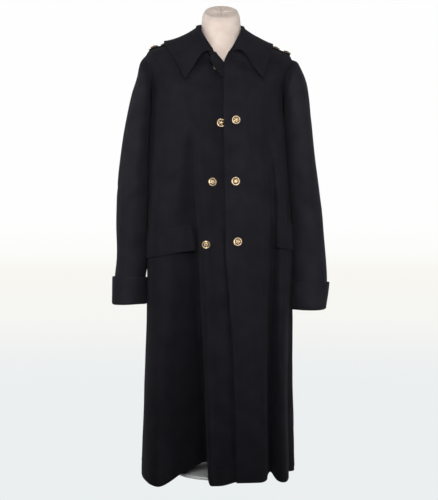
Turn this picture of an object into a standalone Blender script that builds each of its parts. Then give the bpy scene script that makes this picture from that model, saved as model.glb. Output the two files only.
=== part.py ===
"""A military greatcoat on a limbless dress form, in metres, +Z up, the coat's front towards -Y.

The origin is on the floor under the middle of the form, and the wearer's right is towards -X. The coat's
panels are one wrapped surface, cut at its seams. A place on it has a level, which is the height of its ring
at the wearer's right side, and a turn in degrees: 0 at the centre front, 90 at the wearer's right side,
180 at the back, 270 at the wearer's left side and 360 at the centre front again.
"""

import math
from bisect import bisect_right
from collections import namedtuple
from functools import lru_cache

import bmesh
import bpy
from mathutils import Vector

# Walls and gaps
CLOTH = 0.003
COLLAR_CLOTH = 0.0035
SEAM_GAP = 0.0005
LAY_GAP = 0.0010            # under what lies on a panel
UNDERLAP = 0.0145           # how far the right front lies behind the left one
UNDERLAP_TURNS = (1.0, 14.0)  # the right front dips behind the left one between these turns

# The coat's rings, from the hem up: heights at the side, front and back, then half widths and depths
Section = namedtuple("Section", "name level front_z back_z left_drop half_right half_left front back")
SECTIONS = [Section(*row) for row in (
    ("hem", 0.0065, 0.0065, 0.0065, 0.000, 0.219, 0.208, 0.205, 0.205),
    ("shin", 0.197, 0.197, 0.197, 0.000, 0.216, 0.205, 0.192, 0.190),
    ("knee", 0.387, 0.387, 0.387, 0.000, 0.210, 0.202, 0.181, 0.175),
    ("thigh", 0.517, 0.517, 0.517, 0.000, 0.206, 0.204, 0.172, 0.164),
    ("hip", 0.667, 0.667, 0.667, 0.000, 0.206, 0.207, 0.164, 0.153),
    ("waist", 0.827, 0.827, 0.827, 0.000, 0.205, 0.197, 0.156, 0.143),
    ("chest", 0.967, 0.962, 0.967, 0.000, 0.201, 0.186, 0.149, 0.136),
    ("armpit", 1.067, 1.042, 1.062, 0.004, 0.196, 0.180, 0.141, 0.131),
    ("blade", 1.137, 1.079, 1.107, 0.010, 0.203, 0.193, 0.134, 0.126),
    ("tip", 1.201, 1.115, 1.155, 0.015, 0.204, 0.200, 0.124, 0.114),
    ("shoulder", 1.223, 1.145, 1.201, 0.009, 0.138, 0.138, 0.103, 0.086),
    ("neck", 1.249, 1.181, 1.253, 0.000, 0.068, 0.068, 0.072, 0.062),
)]
LEVEL = {row.name: row.level for row in SECTIONS}
HEM, ARMPIT, TIP, NECK = LEVEL["hem"], LEVEL["armpit"], LEVEL["tip"], LEVEL["neck"]
SQUARENESS = 2.4            # 2 would be an ellipse

# Folds, by turn: where the cloth's edge lies at the hem, how far it rises there, and the fold's top level
Fold = namedtuple("Fold", "name turn hem_x hem_y rise start")
FOLDS = [Fold(*row) for row in (
    ("right centre", 0, 0.004, -0.206, 0.000, 0.687),
    ("right roll front", 6, -0.013, -0.206, 0.000, 0.967),
    ("right roll", 11, -0.028, -0.195, 0.001, 0.967),
    ("right roll side", 14, -0.033, -0.152, 0.009, 0.967),
    ("pleat wall", 17, -0.032, -0.086, 0.019, 0.967),
    ("pleat bottom", 20, -0.037, -0.014, 0.030, 0.967),
    ("pleat rise", 25, -0.063, -0.046, 0.027, 0.907),
    ("pleat bank", 32, -0.100, -0.106, 0.019, 0.837),
    ("lobe rise", 41, -0.138, -0.166, 0.004, 0.787),
    ("lobe", 50, -0.163, -0.192, -0.003, 0.787),
    ("lobe fall", 60, -0.188, -0.173, -0.001, 0.787),
    ("right flank", 70, -0.206, -0.126, 0.002, 0.787),
    ("right hip", 80, -0.217, -0.062, 0.003, 0.737),
    ("right seam", 90, -0.221, 0.002, 0.004, 0.687),
    ("right back flank", 103, -0.215, 0.070, 0.005, 0.707),
    ("back flute 1", 117, -0.190, 0.140, 0.004, 0.787),
    ("back hollow 1", 132, -0.132, 0.134, 0.009, 0.787),
    ("back flute 2", 146, -0.102, 0.188, 0.004, 0.847),
    ("back hollow 2", 160, -0.056, 0.170, 0.008, 0.827),
    ("back flute 3", 174, -0.020, 0.207, 0.003, 0.907),
    ("back hollow 3", 188, 0.022, 0.176, 0.008, 0.907),
    ("back flute 4", 203, 0.070, 0.202, 0.004, 0.807),
    ("back hollow 4", 218, 0.106, 0.150, 0.008, 0.787),
    ("back flute 5", 233, 0.158, 0.166, 0.004, 0.827),
    ("left back flank", 250, 0.211, 0.102, 0.005, 0.737),
    ("left seam", 270, 0.2146, 0.030, 0.006, 0.687),
    ("left hip", 279, 0.208, -0.022, 0.007, 0.647),
    ("left hollow", 287, 0.187, -0.060, 0.010, 0.607),
    ("left flank", 294, 0.188, -0.118, 0.007, 0.687),
    ("left roll", 302, 0.175, -0.166, 0.004, 0.837),
    ("left roll fall", 310, 0.156, -0.150, 0.006, 0.937),
    ("left pleat bottom", 316, 0.141, -0.078, 0.014, 1.007),
    ("left pleat wall", 321, 0.131, -0.112, 0.012, 1.007),
    ("left front turn", 326, 0.126, -0.165, 0.010, 0.967),
    ("left front side", 331, 0.113, -0.193, 0.009, 0.887),
    ("left front", 338, 0.087, -0.201, 0.009, 0.787),
    ("left front middle", 345, 0.064, -0.204, 0.009, 0.687),
    ("left front edge", 352, 0.042, -0.206, 0.009, 0.687),
)]
UNDERLAP_FROM = 331         # from this turn on, the part under the left front copies its folds

# Front edges, from the hem up: x of the right front's hidden edge and of the left front's edge
Edge = namedtuple("Edge", "level right_x left_x")
EDGES = [Edge(*row) for row in (
    (0.0065, 0.102, 0.0425),
    (0.153, 0.100, 0.0400),
    (0.327, 0.098, 0.0347),
    (0.494, 0.096, 0.0251),
    (0.587, 0.095, 0.0177),
    (0.707, 0.093, 0.0142),
    (0.967, 0.086, 0.0102),
    (1.067, 0.074, 0.0100),
    (1.201, 0.043, 0.0100),
    (1.223, 0.024, 0.0110),
    (1.236, 0.010, 0.0122),
    (1.249, -0.015, 0.0240),
)]

# Armholes: how far the panels stop short of the side seam's line, in degrees
ARM_FRONT, ARM_BACK, ARM_ROUND = 22.0, 28.0, 0.8
ARM_ROLL = 0.07             # share of the armhole over which the sleeve head runs on from the shoulder

# Sleeves, from the head down: the outer and inner edge seen from the front, then the front and back reach
Girth = namedtuple("Girth", "name outer_x outer_z inner_x inner_z front_y back_y")
SLEEVE_RIGHT = [Girth(*row) for row in (
    ("head", -0.2225, 1.172, -0.2005, 1.053, -0.084, 0.083),
    ("cap", -0.2335, 1.128, -0.2008, 1.030, -0.088, 0.087),
    ("biceps", -0.248, 1.083, -0.2027, 0.999, -0.089, 0.089),
    ("upper", -0.262, 1.012, -0.2054, 0.945, -0.088, 0.089),
    ("above elbow", -0.2765, 0.923, -0.2077, 0.872, -0.087, 0.087),
    ("elbow", -0.287, 0.822, -0.2092, 0.787, -0.087, 0.081),
    ("below elbow", -0.291, 0.717, -0.2120, 0.697, -0.085, 0.074),
    ("forearm", -0.292, 0.617, -0.2128, 0.609, -0.081, 0.067),
    ("wrist", -0.2970, 0.557, -0.2187, 0.555, -0.079, 0.063),
    ("end", -0.3005, 0.491, -0.2186, 0.493, -0.078, 0.061),
)]
SLEEVE_LEFT = [Girth(*row) for row in (
    ("head", 0.2175, 1.171, 0.1850, 1.049, -0.084, 0.083),
    ("cap", 0.2366, 1.128, 0.1848, 1.027, -0.088, 0.087),
    ("biceps", 0.2475, 1.083, 0.1871, 0.995, -0.089, 0.089),
    ("upper", 0.256, 1.012, 0.1916, 0.942, -0.088, 0.089),
    ("above elbow", 0.265, 0.923, 0.1975, 0.872, -0.087, 0.087),
    ("elbow", 0.278, 0.817, 0.2038, 0.787, -0.086, 0.081),
    ("below elbow", 0.291, 0.712, 0.2125, 0.697, -0.084, 0.074),
    ("forearm", 0.2985, 0.617, 0.2125, 0.609, -0.080, 0.067),
    ("wrist", 0.3015, 0.544, 0.2165, 0.544, -0.078, 0.063),
    ("end", 0.295, 0.477, 0.2122, 0.478, -0.077, 0.061),
)]
SLEEVE_SQUARENESS = 2.3
HEAD_ROWS = 4               # the armhole's own shape has faded out at this row
CUFF_DEPTH = 0.070
CUFF_FLARE = 0.003          # the cuff's upper edge stands this far off the sleeve

# Collar, from the left point round the back to the right point: its roll line, its outer edge and how far
# its fall bulges between them, with a curl near the roll at its two points
Roll = namedtuple("Roll", "name turn roll_x roll_y roll_z edge_x edge_y edge_z bulge curl")
COLLAR = [Roll(*row) for row in (
    ("left point", 341.5, 0.0325, -0.0690, 1.2010, 0.1185, -0.150, 1.108, 0.004, 0.016),
    ("left front", 310, 0.056, -0.048, 1.247, 0.137, -0.094, 1.167, 0.003, 0.000),
    ("left yoke", 292, 0.062, -0.022, 1.267, 0.148, -0.050, 1.2070, -0.004, 0.000),
    ("left shoulder", 270, 0.066, 0.004, 1.277, 0.149, 0.000, 1.2235, -0.0035, 0.000),
    ("left back", 225, 0.047, 0.047, 1.290, 0.118, 0.088, 1.195, -0.001, 0.000),
    ("centre back", 180, 0.002, 0.062, 1.294, 0.002, 0.124, 1.183, 0.002, 0.000),
    ("right back", 135, -0.044, 0.047, 1.290, -0.122, 0.088, 1.201, -0.002, 0.000),
    ("right shoulder", 90, -0.063, 0.004, 1.279, -0.157, 0.000, 1.2320, -0.007, 0.000),
    ("right yoke", 68, -0.059, -0.022, 1.270, -0.1545, -0.050, 1.2160, -0.005, 0.000),
    ("right front", 50, -0.052, -0.048, 1.251, -0.128, -0.094, 1.171, 0.003, 0.000),
    ("right point", 21.5, -0.0190, -0.0720, 1.1990, -0.0955, -0.150, 1.105, 0.004, 0.0135),
)]
ROLL_HALF, ROLL_DROP, ROLL_ROUND = 0.0052, 0.007, 0.7
CURL_PEAK = 9.5             # brings the curl's highest place to 1

# The right front's top corner, turned back: its width, how far its free edge stands off, its fold's rise
Turned = namedtuple("Turned", "level width lift roll")
LAPEL = [Turned(*row) for row in (
    (1.2478, 0.0125, 0.0050, 0.0095),
    (1.2425, 0.025, 0.0080, 0.0105),
    (1.236, 0.0395, 0.0130, 0.005),
    (1.2295, 0.052, 0.0165, 0.005),
    (1.223, 0.053, 0.0155, 0.002),
    (1.213, 0.042, 0.0095, 0.001),
    (1.201, 0.037, 0.0045, 0.000),
)]
LAPEL_CURVE = 0.75          # below 1, it rises fast at its fold

# Pocket flaps: turns of the inner and outer end, and the levels of the two ends' lower edges
Flap = namedtuple("Flap", "side inner outer inner_low outer_low depth lift")
FLAPS = [
    Flap("right", 24.0, 84.0, 0.629, 0.611, 0.074, 0.022),
    Flap("left", 311.0, 278.0, 0.641, 0.633, 0.074, 0.005),
]
FLAP_FREE, FLAP_CURL = 0.3, 1.5  # share of a flap, from its inner end, that stands off, and how sharply
FLAP_TOP_FREE = 0.5         # how much less its upper edge stands off

# Shoulder straps and the studs on them
STRAP_HALF = 0.024
STRAP_SHARES = (-1, -0.5, 0, 0.5, 1)
STRAP_LEVELS = (1.2035, 1.209, 1.215, 1.221, 1.227, 1.233)
Stud = namedtuple("Stud", "name turn level")
STUDS = [Stud(*row) for row in (
    ("stud_right_1", 86.8, 1.2095),
    ("stud_right_2", 89.0, 1.2176),
    ("stud_left_1", 273.2, 1.2075),
    ("stud_left_2", 273.2, 1.2170),
)]
STUD_RADIUS, STUD_HEIGHT = 0.0110, 0.0058
Dome = namedtuple("Dome", "radius_share height_share")
STUD_DOME = [Dome(1.0, 0.0), Dome(1.0, 0.4), Dome(0.6, 0.8), Dome(0.25, 1.0)]

# Buttons: x and level on the front that carries them, their gap from it and how far their faces droop, in degrees
Button = namedtuple("Button", "name x level gap droop")
BUTTONS = [Button(*row) for row in (
    ("button_left_1", 0.0434, 1.0005, 0.0004, 0),
    ("button_left_2", 0.0421, 0.824, 0.0004, 0),
    ("button_left_3", 0.0476, 0.660, 0.0004, 0),
    ("button_right_1", 0.0029, 0.9958, 0.0004, 0),
    ("button_right_2", -0.0234, 0.8235, 0.0009, 0),
    ("button_right_3", -0.0468, 0.6545, 0.0024, 28),
    ("button_right_4", -0.0105, 1.2262, 0.0011, 0),
)]
BUTTON_RADIUS, BUTTON_HEIGHT, SHANK_RADIUS, SHANK = 0.0112, 0.0052, 0.003, 0.0030
BUTTON_DOME = [Dome(0.9, 0.0), Dome(1.0, 0.3), Dome(0.8, 0.8), Dome(0.4, 1.0)]

# Dress form: how far it lies inside the coat's rings, then its neck's rings, its pole and its base
Inset = namedtuple("Inset", "level inset front_inset")
BUST = [Inset(*row) for row in (
    (0.607, 0.078, 0.000),
    (0.707, 0.074, 0.000),
    (0.807, 0.066, 0.000),
    (0.907, 0.045, 0.000),
    (0.987, 0.028, 0.004),
    (1.067, 0.016, 0.012),
    (1.137, 0.010, 0.016),
    (1.192, 0.0065, 0.018),
    (1.211, 0.0042, 0.019),
    (1.223, 0.0042, 0.018),
    (1.237, 0.0042, 0.021),
    (1.249, 0.0050, 0.0075),
)]
FRONT_TURNS = (18, 60)      # the form's front inset fades out between these turns
ARM_PLATE = 0.172           # the form is cut flat here at each side
FormNeck = namedtuple("FormNeck", "front_z back_z half front back")
FORM_NECK = [FormNeck(*row) for row in (
    (1.209, 1.271, 0.0590, 0.0600, 0.0530),
    (1.233, 1.289, 0.0572, 0.0560, 0.0490),
    (1.261, 1.315, 0.0550, 0.0520, 0.0440),
    (1.279, 1.332, 0.0525, 0.0495, 0.0405),
    (1.287, 1.339, 0.0490, 0.0455, 0.0365),
)]
NECK_X = 0.003
BASE_RADIUS, BASE_HEIGHT, BASE_CHAMFER = 0.125, 0.008, 0.002
BASE_Y = 0.030              # the base lies behind the front hem
POLE_RADIUS = 0.0125

# How finely the pieces are divided
BODY_LEVELS = (0.0065, 0.15, 0.29, 0.42, 0.53, 0.65, 0.77, 0.87, 0.967, 1.017)
ARM_STEPS = 6
TOP_LEVELS = (1.213, 1.223, 1.2295, 1.236, 1.2425, 1.249)
FOLD_STEPS = 2
POINT_STEPS, COLLAR_STEPS, FALL_STEPS = 6, 3, 5
LAPEL_STEPS = 4
FLAP_COLUMNS, FLAP_ROWS = 12, 4
FORM_SIDES = 32
ROUND_SIDES = 12
TURN_STEP, LEVEL_STEP = 0.5, 0.002  # for the direction of a face
SHARP = math.radians(40)


def smooth(knots, values, at):
    """The value at a place on the smooth curve through a table's rows, held level past its ends."""
    if at <= knots[0]:
        return values[0]
    if at >= knots[-1]:
        return values[-1]
    i = bisect_right(knots, at) - 1

    def slope(k):
        low, high = max(k - 1, 0), min(k + 1, len(knots) - 1)
        return (values[high] - values[low]) / (knots[high] - knots[low])

    step = knots[i + 1] - knots[i]
    s = (at - knots[i]) / step
    rise = s * s * (3 - 2 * s)
    lead, trail = s * (1 - s) ** 2, s * s * (s - 1)
    return values[i] * (1 - rise) + values[i + 1] * rise + step * (lead * slope(i) + trail * slope(i + 1))


def column(rows, name):
    return [getattr(row, name) for row in rows]


def signed_power(value, power):
    return math.copysign(abs(value) ** power, value)


def ease(low, high, at):
    """0 below low, 1 above high, smooth between."""
    s = min(max((at - low) / (high - low), 0.0), 1.0)
    return s * s * (3 - 2 * s)


@lru_cache(maxsize=None)
def section(level):
    levels = column(SECTIONS, "level")
    return Section("", *(smooth(levels, column(SECTIONS, name), level) for name in Section._fields[1:]))


def ring_point(level, turn):
    """A point of the coat before its folds."""
    ring = section(level)
    sine, cosine = math.sin(math.radians(turn)), math.cos(math.radians(turn))
    half = ring.half_right if sine >= 0 else ring.half_left
    depth, middle_z = (ring.front, ring.front_z) if cosine >= 0 else (ring.back, ring.back_z)
    side_z = ring.level - (ring.left_drop if sine < 0 else 0)
    power = 2 / SQUARENESS
    return Vector((
        -half * signed_power(sine, power),
        -depth * signed_power(cosine, power),
        middle_z + (side_z - middle_z) * sine * sine,
    ))


def fold_rows():
    """Turn, shifts in x and y at the hem, rise and top level of each fold, with the underlap's copies."""
    rows = []
    for fold in FOLDS:
        shift = Vector((fold.hem_x, fold.hem_y, 0)) - ring_point(HEM, fold.turn)
        rows.append((fold.turn, shift.x, shift.y, fold.rise, fold.start))
    copies = [(turn - 360, *rest) for turn, *rest in rows if turn >= UNDERLAP_FROM]
    return list(zip(*(copies + rows)))


FOLD_COLUMNS = fold_rows()


@lru_cache(maxsize=None)
def fold_at(turn):
    turns, *others = FOLD_COLUMNS
    return [smooth(turns, values, turn) for values in others]


def coat_point(level, turn):
    """A point of the coat's outer face."""
    point = ring_point(level, turn)
    shift_x, shift_y, rise, start = fold_at(turn)
    grown = max(0.0, (start - level) / (start - HEM))
    point += Vector((shift_x, shift_y, rise)) * grown
    if turn < UNDERLAP_TURNS[1]:
        point -= face_direction(ring_point, level, turn) * UNDERLAP * (1 - ease(*UNDERLAP_TURNS, turn))
    return point


def face_direction(point_at, level, turn):
    """The direction that a wrapped surface looks in."""
    along = point_at(level, turn + TURN_STEP) - point_at(level, turn - TURN_STEP)
    up = point_at(level + LEVEL_STEP, turn) - point_at(level - LEVEL_STEP, turn)
    return up.cross(along).normalized()


def outward(level, turn):
    return face_direction(coat_point, level, turn)


def lifted(level, turn, height):
    return coat_point(level, turn) + outward(level, turn) * height


def turn_at(level, x):
    """The turn of the front that has this x, from -90 at the wearer's left to 90 at the right."""
    ring = section(level)
    half = ring.half_right if x <= 0 else ring.half_left
    return math.degrees(math.asin(signed_power(-x / half, SQUARENESS / 2)))


def edge_turn(level, name):
    return turn_at(level, smooth(column(EDGES, "level"), column(EDGES, name), level))


def arm_share(level):
    """0 at the armpit and the shoulder's tip, 1 where the armhole is widest."""
    s = (level - ARMPIT) / (TIP - ARMPIT)
    return math.sin(math.pi * s) ** ARM_ROUND if 0 < s < 1 else 0.0


def divided(places, steps):
    """The places of a list, with each space between them cut into steps."""
    fine = []
    for low, high in zip(places, places[1:]):
        fine += [low + (high - low) * k / steps for k in range(steps)]
    return fine + [places[-1]]


def arm_levels():
    return [ARMPIT + (TIP - ARMPIT) * k / ARM_STEPS for k in range(ARM_STEPS + 1)]


def material(name, colour, roughness, metallic=0.0):
    made = bpy.data.materials.new(name)
    made.use_nodes = True
    shader = made.node_tree.nodes["Principled BSDF"]
    shader.inputs["Base Color"].default_value = (*colour, 1)
    shader.inputs["Roughness"].default_value = roughness
    shader.inputs["Metallic"].default_value = metallic
    return made


def add_object(name, mesh, finish):
    mesh.materials.append(finish)
    mesh.shade_smooth()
    obj = bpy.data.objects.new(name, mesh)
    bpy.context.scene.collection.objects.link(obj)
    return obj


def grid_mesh(name, rows, closed=False):
    """A sheet of triangles through rows of points, which go up as the columns go round with the turn."""
    wide = len(rows[0])
    points = [point for row in rows for point in row]
    faces = []
    for i in range(len(rows) - 1):
        for j in range(wide if closed else wide - 1):
            a, b = i * wide + j, i * wide + (j + 1) % wide
            faces += [(a, a + wide, b + wide), (a, b + wide, b)]
    mesh = bpy.data.meshes.new(name)
    mesh.from_pydata(points, [], faces)
    return mesh


def sheet(name, rows, finish, thickness=CLOTH, closed=False):
    """A cloth piece: points of one face, with the wall made behind it."""
    obj = add_object(name, grid_mesh(name, rows, closed), finish)
    wall = obj.modifiers.new("wall", "SOLIDIFY")
    wall.thickness = thickness
    wall.offset = -1
    return obj


def trimmed(row, first, last):
    """A row of points whose ends are drawn in by half a seam's gap."""
    row = list(row)
    if first:
        row[0] = row[0] + (row[1] - row[0]).normalized() * SEAM_GAP / 2
    if last:
        row[-1] = row[-1] + (row[-2] - row[-1]).normalized() * SEAM_GAP / 2
    return row


def panel(name, turns, limits, seams, finish):
    """A panel between two edges whose turns the limits give at each level."""
    first, last = turns[0], turns[-1]
    rows = []
    for level in [*BODY_LEVELS, *arm_levels(), *TOP_LEVELS]:
        low, high = limits(level)
        stretch = (high - low) / (last - first)
        row = [coat_point(level, low + (turn - first) * stretch) for turn in turns]
        rows.append(trimmed(row, *seams))
    return sheet(name, rows, finish)


def body_panels(cloth):
    turns = list(FOLD_COLUMNS[0])
    right_edge = edge_turn(HEM, "right_x")

    def between(low, high):
        inside = [turn for turn in turns if low < turn < high]
        return divided([low, *inside, high], FOLD_STEPS)

    panel(
        "front_right", between(right_edge, 90),
        lambda level: (edge_turn(level, "right_x"), 90 - ARM_FRONT * arm_share(level)),
        (False, True), cloth,
    )
    panel(
        "back", between(90, 270),
        lambda level: (90 + ARM_BACK * arm_share(level), 270 - ARM_BACK * arm_share(level)),
        (True, True), cloth,
    )
    panel(
        "front_left", between(270, 360 + edge_turn(HEM, "left_x")),
        lambda level: (270 + ARM_FRONT * arm_share(level), 360 + edge_turn(level, "left_x")),
        (True, False), cloth,
    )


def armhole(side_turn, roll):
    """The armhole's edge, from the armpit up the front and down the back, drawn in by a share of its size."""
    towards_front = -1 if side_turn < 180 else 1
    middle = (ARMPIT + TIP) / 2
    levels = divided(arm_levels(), 2)

    def edge_point(level, reach, sign):
        body_level = middle + (level - middle) * (1 - roll)
        return coat_point(body_level, side_turn + sign * reach * arm_share(level) * (1 - roll))

    # Half-way points lie on the straight edge between the panels' own points
    def half_edge(reach, sign):
        points = [edge_point(level, reach, sign) for level in levels]
        for k in range(1, len(points), 2):
            points[k] = (points[k - 1] + points[k + 1]) / 2
        return points

    front = half_edge(ARM_FRONT, towards_front)
    back = half_edge(ARM_BACK, -towards_front)
    return front[:-1] + back[:0:-1]


def sleeve_ring(row, sides):
    """A sleeve's ring from the inner edge round the front, the outer edge and the back."""
    outer, inner = Vector((row.outer_x, 0, row.outer_z)), Vector((row.inner_x, 0, row.inner_z))
    middle, half = (outer + inner) / 2, (outer - inner) / 2
    power = 2 / SLEEVE_SQUARENESS
    ring = []
    for k in range(sides):
        angle = 2 * math.pi * k / sides - math.pi / 2
        across, along = signed_power(math.sin(angle), power), signed_power(math.cos(angle), power)
        reach = row.front_y if along >= 0 else row.back_y
        ring.append(middle + half * across + Vector((0, reach * abs(along), 0)))
    return ring


def sleeve_rings(side_turn, table):
    """All rings of a sleeve, from the armhole down."""
    seam, roll = armhole(side_turn, 0.0), armhole(side_turn, ARM_ROLL)
    sides = len(seam)
    start = [point + (after - point).normalized() * SEAM_GAP for point, after in zip(seam, roll)]
    outer, inner = roll[sides // 2], roll[0]
    head = Girth("armhole", outer.x, outer.z, inner.x, inner.z, roll[sides // 4].y, roll[3 * sides // 4].y)
    misfit = [point - plain for point, plain in zip(roll, sleeve_ring(head, sides))]
    rings = [start, roll]
    for k, row in enumerate(table, 1):
        fade = max(0.0, 1 - k / HEAD_ROWS) ** 2
        rings.append([point + shift * fade for point, shift in zip(sleeve_ring(row, sides), misfit)])
    return rings


def rows_up(rings, side_turn):
    """Rings as rows that go up, with columns in the order that puts the wall outside the rings."""
    order = 1 if side_turn > 180 else -1
    return [ring[::order] for ring in reversed(rings)]


def grown(rings, heights):
    """The last rings of a sleeve, moved out from their middles."""
    moved = []
    for ring, height in zip(rings, heights):
        middle = sum(ring, Vector()) / len(ring)
        out = []
        for before, point, after in zip(ring[-1:] + ring[:-1], ring, ring[1:] + ring[:1]):
            normal = (after - before).cross(Vector((0, 0, 1))).normalized()
            if normal.dot(point - middle) < 0:
                normal.negate()
            out.append(point + normal * height)
        moved.append(out)
    return moved


def between_rings(upper, lower, share):
    return [a.lerp(b, share) for a, b in zip(upper, lower)]


def sleeves(cloth):
    for side, side_turn, table in (("right", 90, SLEEVE_RIGHT), ("left", 270, SLEEVE_LEFT)):
        rings = sleeve_rings(side_turn, table)
        sheet(f"sleeve_{side}", rows_up(rings, side_turn), cloth, closed=True)
        wrist, end = rings[-2], rings[-1]
        length = table[-2].outer_z - table[-1].outer_z
        top = between_rings(end, wrist, CUFF_DEPTH / length)
        low = LAY_GAP + CLOTH
        cuff = grown([top, between_rings(top, end, 0.5), end], [low + CUFF_FLARE, low + CUFF_FLARE / 2, low])
        sheet(f"cuff_{side}", rows_up(cuff, side_turn), cloth, closed=True)


def collar_section(turn):
    """The collar's upper face at one place: up the stand, over the roll and down the fall to its edge."""
    turns = [-row.turn for row in COLLAR]
    x, y, z, edge_x, edge_y, edge_z, bulge, curl = (
        smooth(turns, column(COLLAR, name), -turn) for name in Roll._fields[2:]
    )
    roll, edge = Vector((x, y, z)), Vector((edge_x, edge_y, edge_z))
    out = Vector((edge.x - roll.x, edge.y - roll.y, 0)).normalized()
    along = coat_point(NECK, turn + TURN_STEP) - coat_point(NECK, turn - TURN_STEP)
    away = Vector((-along.y, along.x, 0)).normalized()
    seam = coat_point(NECK, turn) - away * CLOTH + Vector((0, 0, LAY_GAP))
    drop = Vector((0, 0, ROLL_DROP))
    stand_top = roll - away * ROLL_HALF - drop
    fall_top = roll + out * ROLL_HALF - drop
    stand = [seam, seam.lerp(stand_top, 0.5), stand_top]
    reach, near_top = ROLL_HALF * ROLL_ROUND, drop * (1 - ROLL_ROUND)
    over = [roll - away * reach - near_top, roll, roll + out * reach - near_top]
    across = edge - fall_top
    off = (out * -across.z + Vector((0, 0, across.dot(out)))).normalized()
    fall = []
    for k in range(FALL_STEPS + 1):
        share = k / FALL_STEPS
        height = bulge * 4 * share * (1 - share) + curl * CURL_PEAK * share * (1 - share) ** 3
        fall.append(fall_top + across * share + off * height)
    return stand + over + fall


def collar(cloth):
    turns = column(COLLAR, "turn")
    left, right = divided(turns[:2], POINT_STEPS), divided(turns[-2:], POINT_STEPS)
    round_back = divided(turns[1:-1], COLLAR_STEPS)
    sections = [collar_section(turn) for turn in left[:-1] + round_back + right[1:]]
    sheet("collar", [list(row) for row in zip(*sections)], cloth, COLLAR_CLOTH)


def lapel(cloth):
    rows = []
    for row in reversed(LAPEL):
        x = smooth(column(EDGES, "level"), column(EDGES, "right_x"), row.level)
        line = []
        for k in range(LAPEL_STEPS + 1):
            share = k / LAPEL_STEPS
            height = LAY_GAP + CLOTH + row.lift * share**LAPEL_CURVE
            roll = Vector((0, 0, row.roll * (1 - share) ** 2))
            line.append(lifted(row.level, turn_at(row.level, x - row.width * share), height) + roll)
        rows.append(line)
    sheet("lapel_right", rows, cloth)


def pocket_flaps(cloth):
    for flap in FLAPS:
        rows = []
        for i in range(FLAP_ROWS + 1):
            up = i / FLAP_ROWS
            row = []
            for k in range(FLAP_COLUMNS + 1):
                share = k / FLAP_COLUMNS
                turn = flap.inner + (flap.outer - flap.inner) * share
                low = flap.inner_low + (flap.outer_low - flap.inner_low) * share
                free = max(0.0, 1 - share / FLAP_FREE) ** FLAP_CURL * (1 - FLAP_TOP_FREE * up)
                height = LAY_GAP + CLOTH + flap.lift * free
                row.append(lifted(low + flap.depth * up, turn, height))
            rows.append(row if flap.inner < flap.outer else row[::-1])
        sheet(f"pocket_flap_{flap.side}", rows, cloth)


def shoulder_straps(cloth):
    for side, side_turn in (("right", 90), ("left", 270)):
        rows = []
        for level in STRAP_LEVELS:
            ring = section(level)
            row = []
            for share in STRAP_SHARES:
                depth = ring.front if share < 0 else ring.back
                swing = math.degrees(math.asin((abs(share) * STRAP_HALF / depth) ** (SQUARENESS / 2)))
                turn = side_turn + math.copysign(swing, share) * (1 if side_turn < 180 else -1)
                row.append(lifted(level, turn, LAY_GAP + CLOTH))
            rows.append(row if side_turn < 180 else row[::-1])
        sheet(f"shoulder_strap_{side}", rows, cloth)


def turned(name, profile, sides, finish):
    """A round solid from a profile of radius and height, bottom to top along its own +Z."""
    points, faces = [], []
    for radius, height in profile:
        for k in range(sides):
            angle = 2 * math.pi * k / sides
            points.append((radius * math.cos(angle), radius * math.sin(angle), height))
    for i in range(len(profile) - 1):
        for k in range(sides):
            a, b = i * sides + k, i * sides + (k + 1) % sides
            faces.append((a, b, b + sides, a + sides))
    faces.append(tuple(range(sides - 1, -1, -1)))
    faces.append(tuple(range(len(points) - sides, len(points))))
    mesh = bpy.data.meshes.new(name)
    mesh.from_pydata(points, [], faces)
    return add_object(name, mesh, finish)


def stand_on_coat(obj, level, turn, height, droop=0):
    normal = outward(level, turn)
    up = (Vector((0, 0, 1)) - normal * normal.z).normalized()
    looks = normal * math.cos(math.radians(droop)) - up * math.sin(math.radians(droop))
    obj.location = coat_point(level, turn) + normal * height
    obj.rotation_mode = "QUATERNION"
    obj.rotation_quaternion = Vector((0, 0, 1)).rotation_difference(looks)


def domed(dome, radius, height, base):
    return [(radius * row.radius_share, base + height * row.height_share) for row in dome]


def buttons(gilt):
    shank = [(SHANK_RADIUS, 0), (SHANK_RADIUS, SHANK)]
    profile = shank + domed(BUTTON_DOME, BUTTON_RADIUS, BUTTON_HEIGHT, SHANK)
    for row in BUTTONS:
        turn = turn_at(row.level, row.x)
        if "left" in row.name:
            turn += 360
        button = turned(row.name, profile, ROUND_SIDES, gilt)
        stand_on_coat(button, row.level, turn, row.gap, row.droop)


def studs(gilt):
    profile = domed(STUD_DOME, STUD_RADIUS, STUD_HEIGHT, 0)
    height = LAY_GAP + CLOTH + SEAM_GAP
    for row in STUDS:
        stand_on_coat(turned(row.name, profile, ROUND_SIDES, gilt), row.level, row.turn, height)


def bust_ring(row):
    ring = []
    for k in range(FORM_SIDES):
        turn = 360 * k / FORM_SIDES
        off_centre = min(turn, 360 - turn)
        inset = row.inset + row.front_inset * (1 - ease(*FRONT_TURNS, off_centre))
        point = ring_point(row.level, turn) - face_direction(ring_point, row.level, turn) * inset
        point.x = min(max(point.x, -ARM_PLATE), ARM_PLATE)
        ring.append(point)
    return ring


def form_neck_ring(row):
    ring = []
    for k in range(FORM_SIDES):
        angle = 2 * math.pi * k / FORM_SIDES
        cosine = math.cos(angle)
        depth = row.front if cosine >= 0 else row.back
        height = (row.front_z + row.back_z) / 2 + (row.front_z - row.back_z) / 2 * cosine
        ring.append(Vector((NECK_X - row.half * math.sin(angle), -depth * cosine, height)))
    return ring


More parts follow.
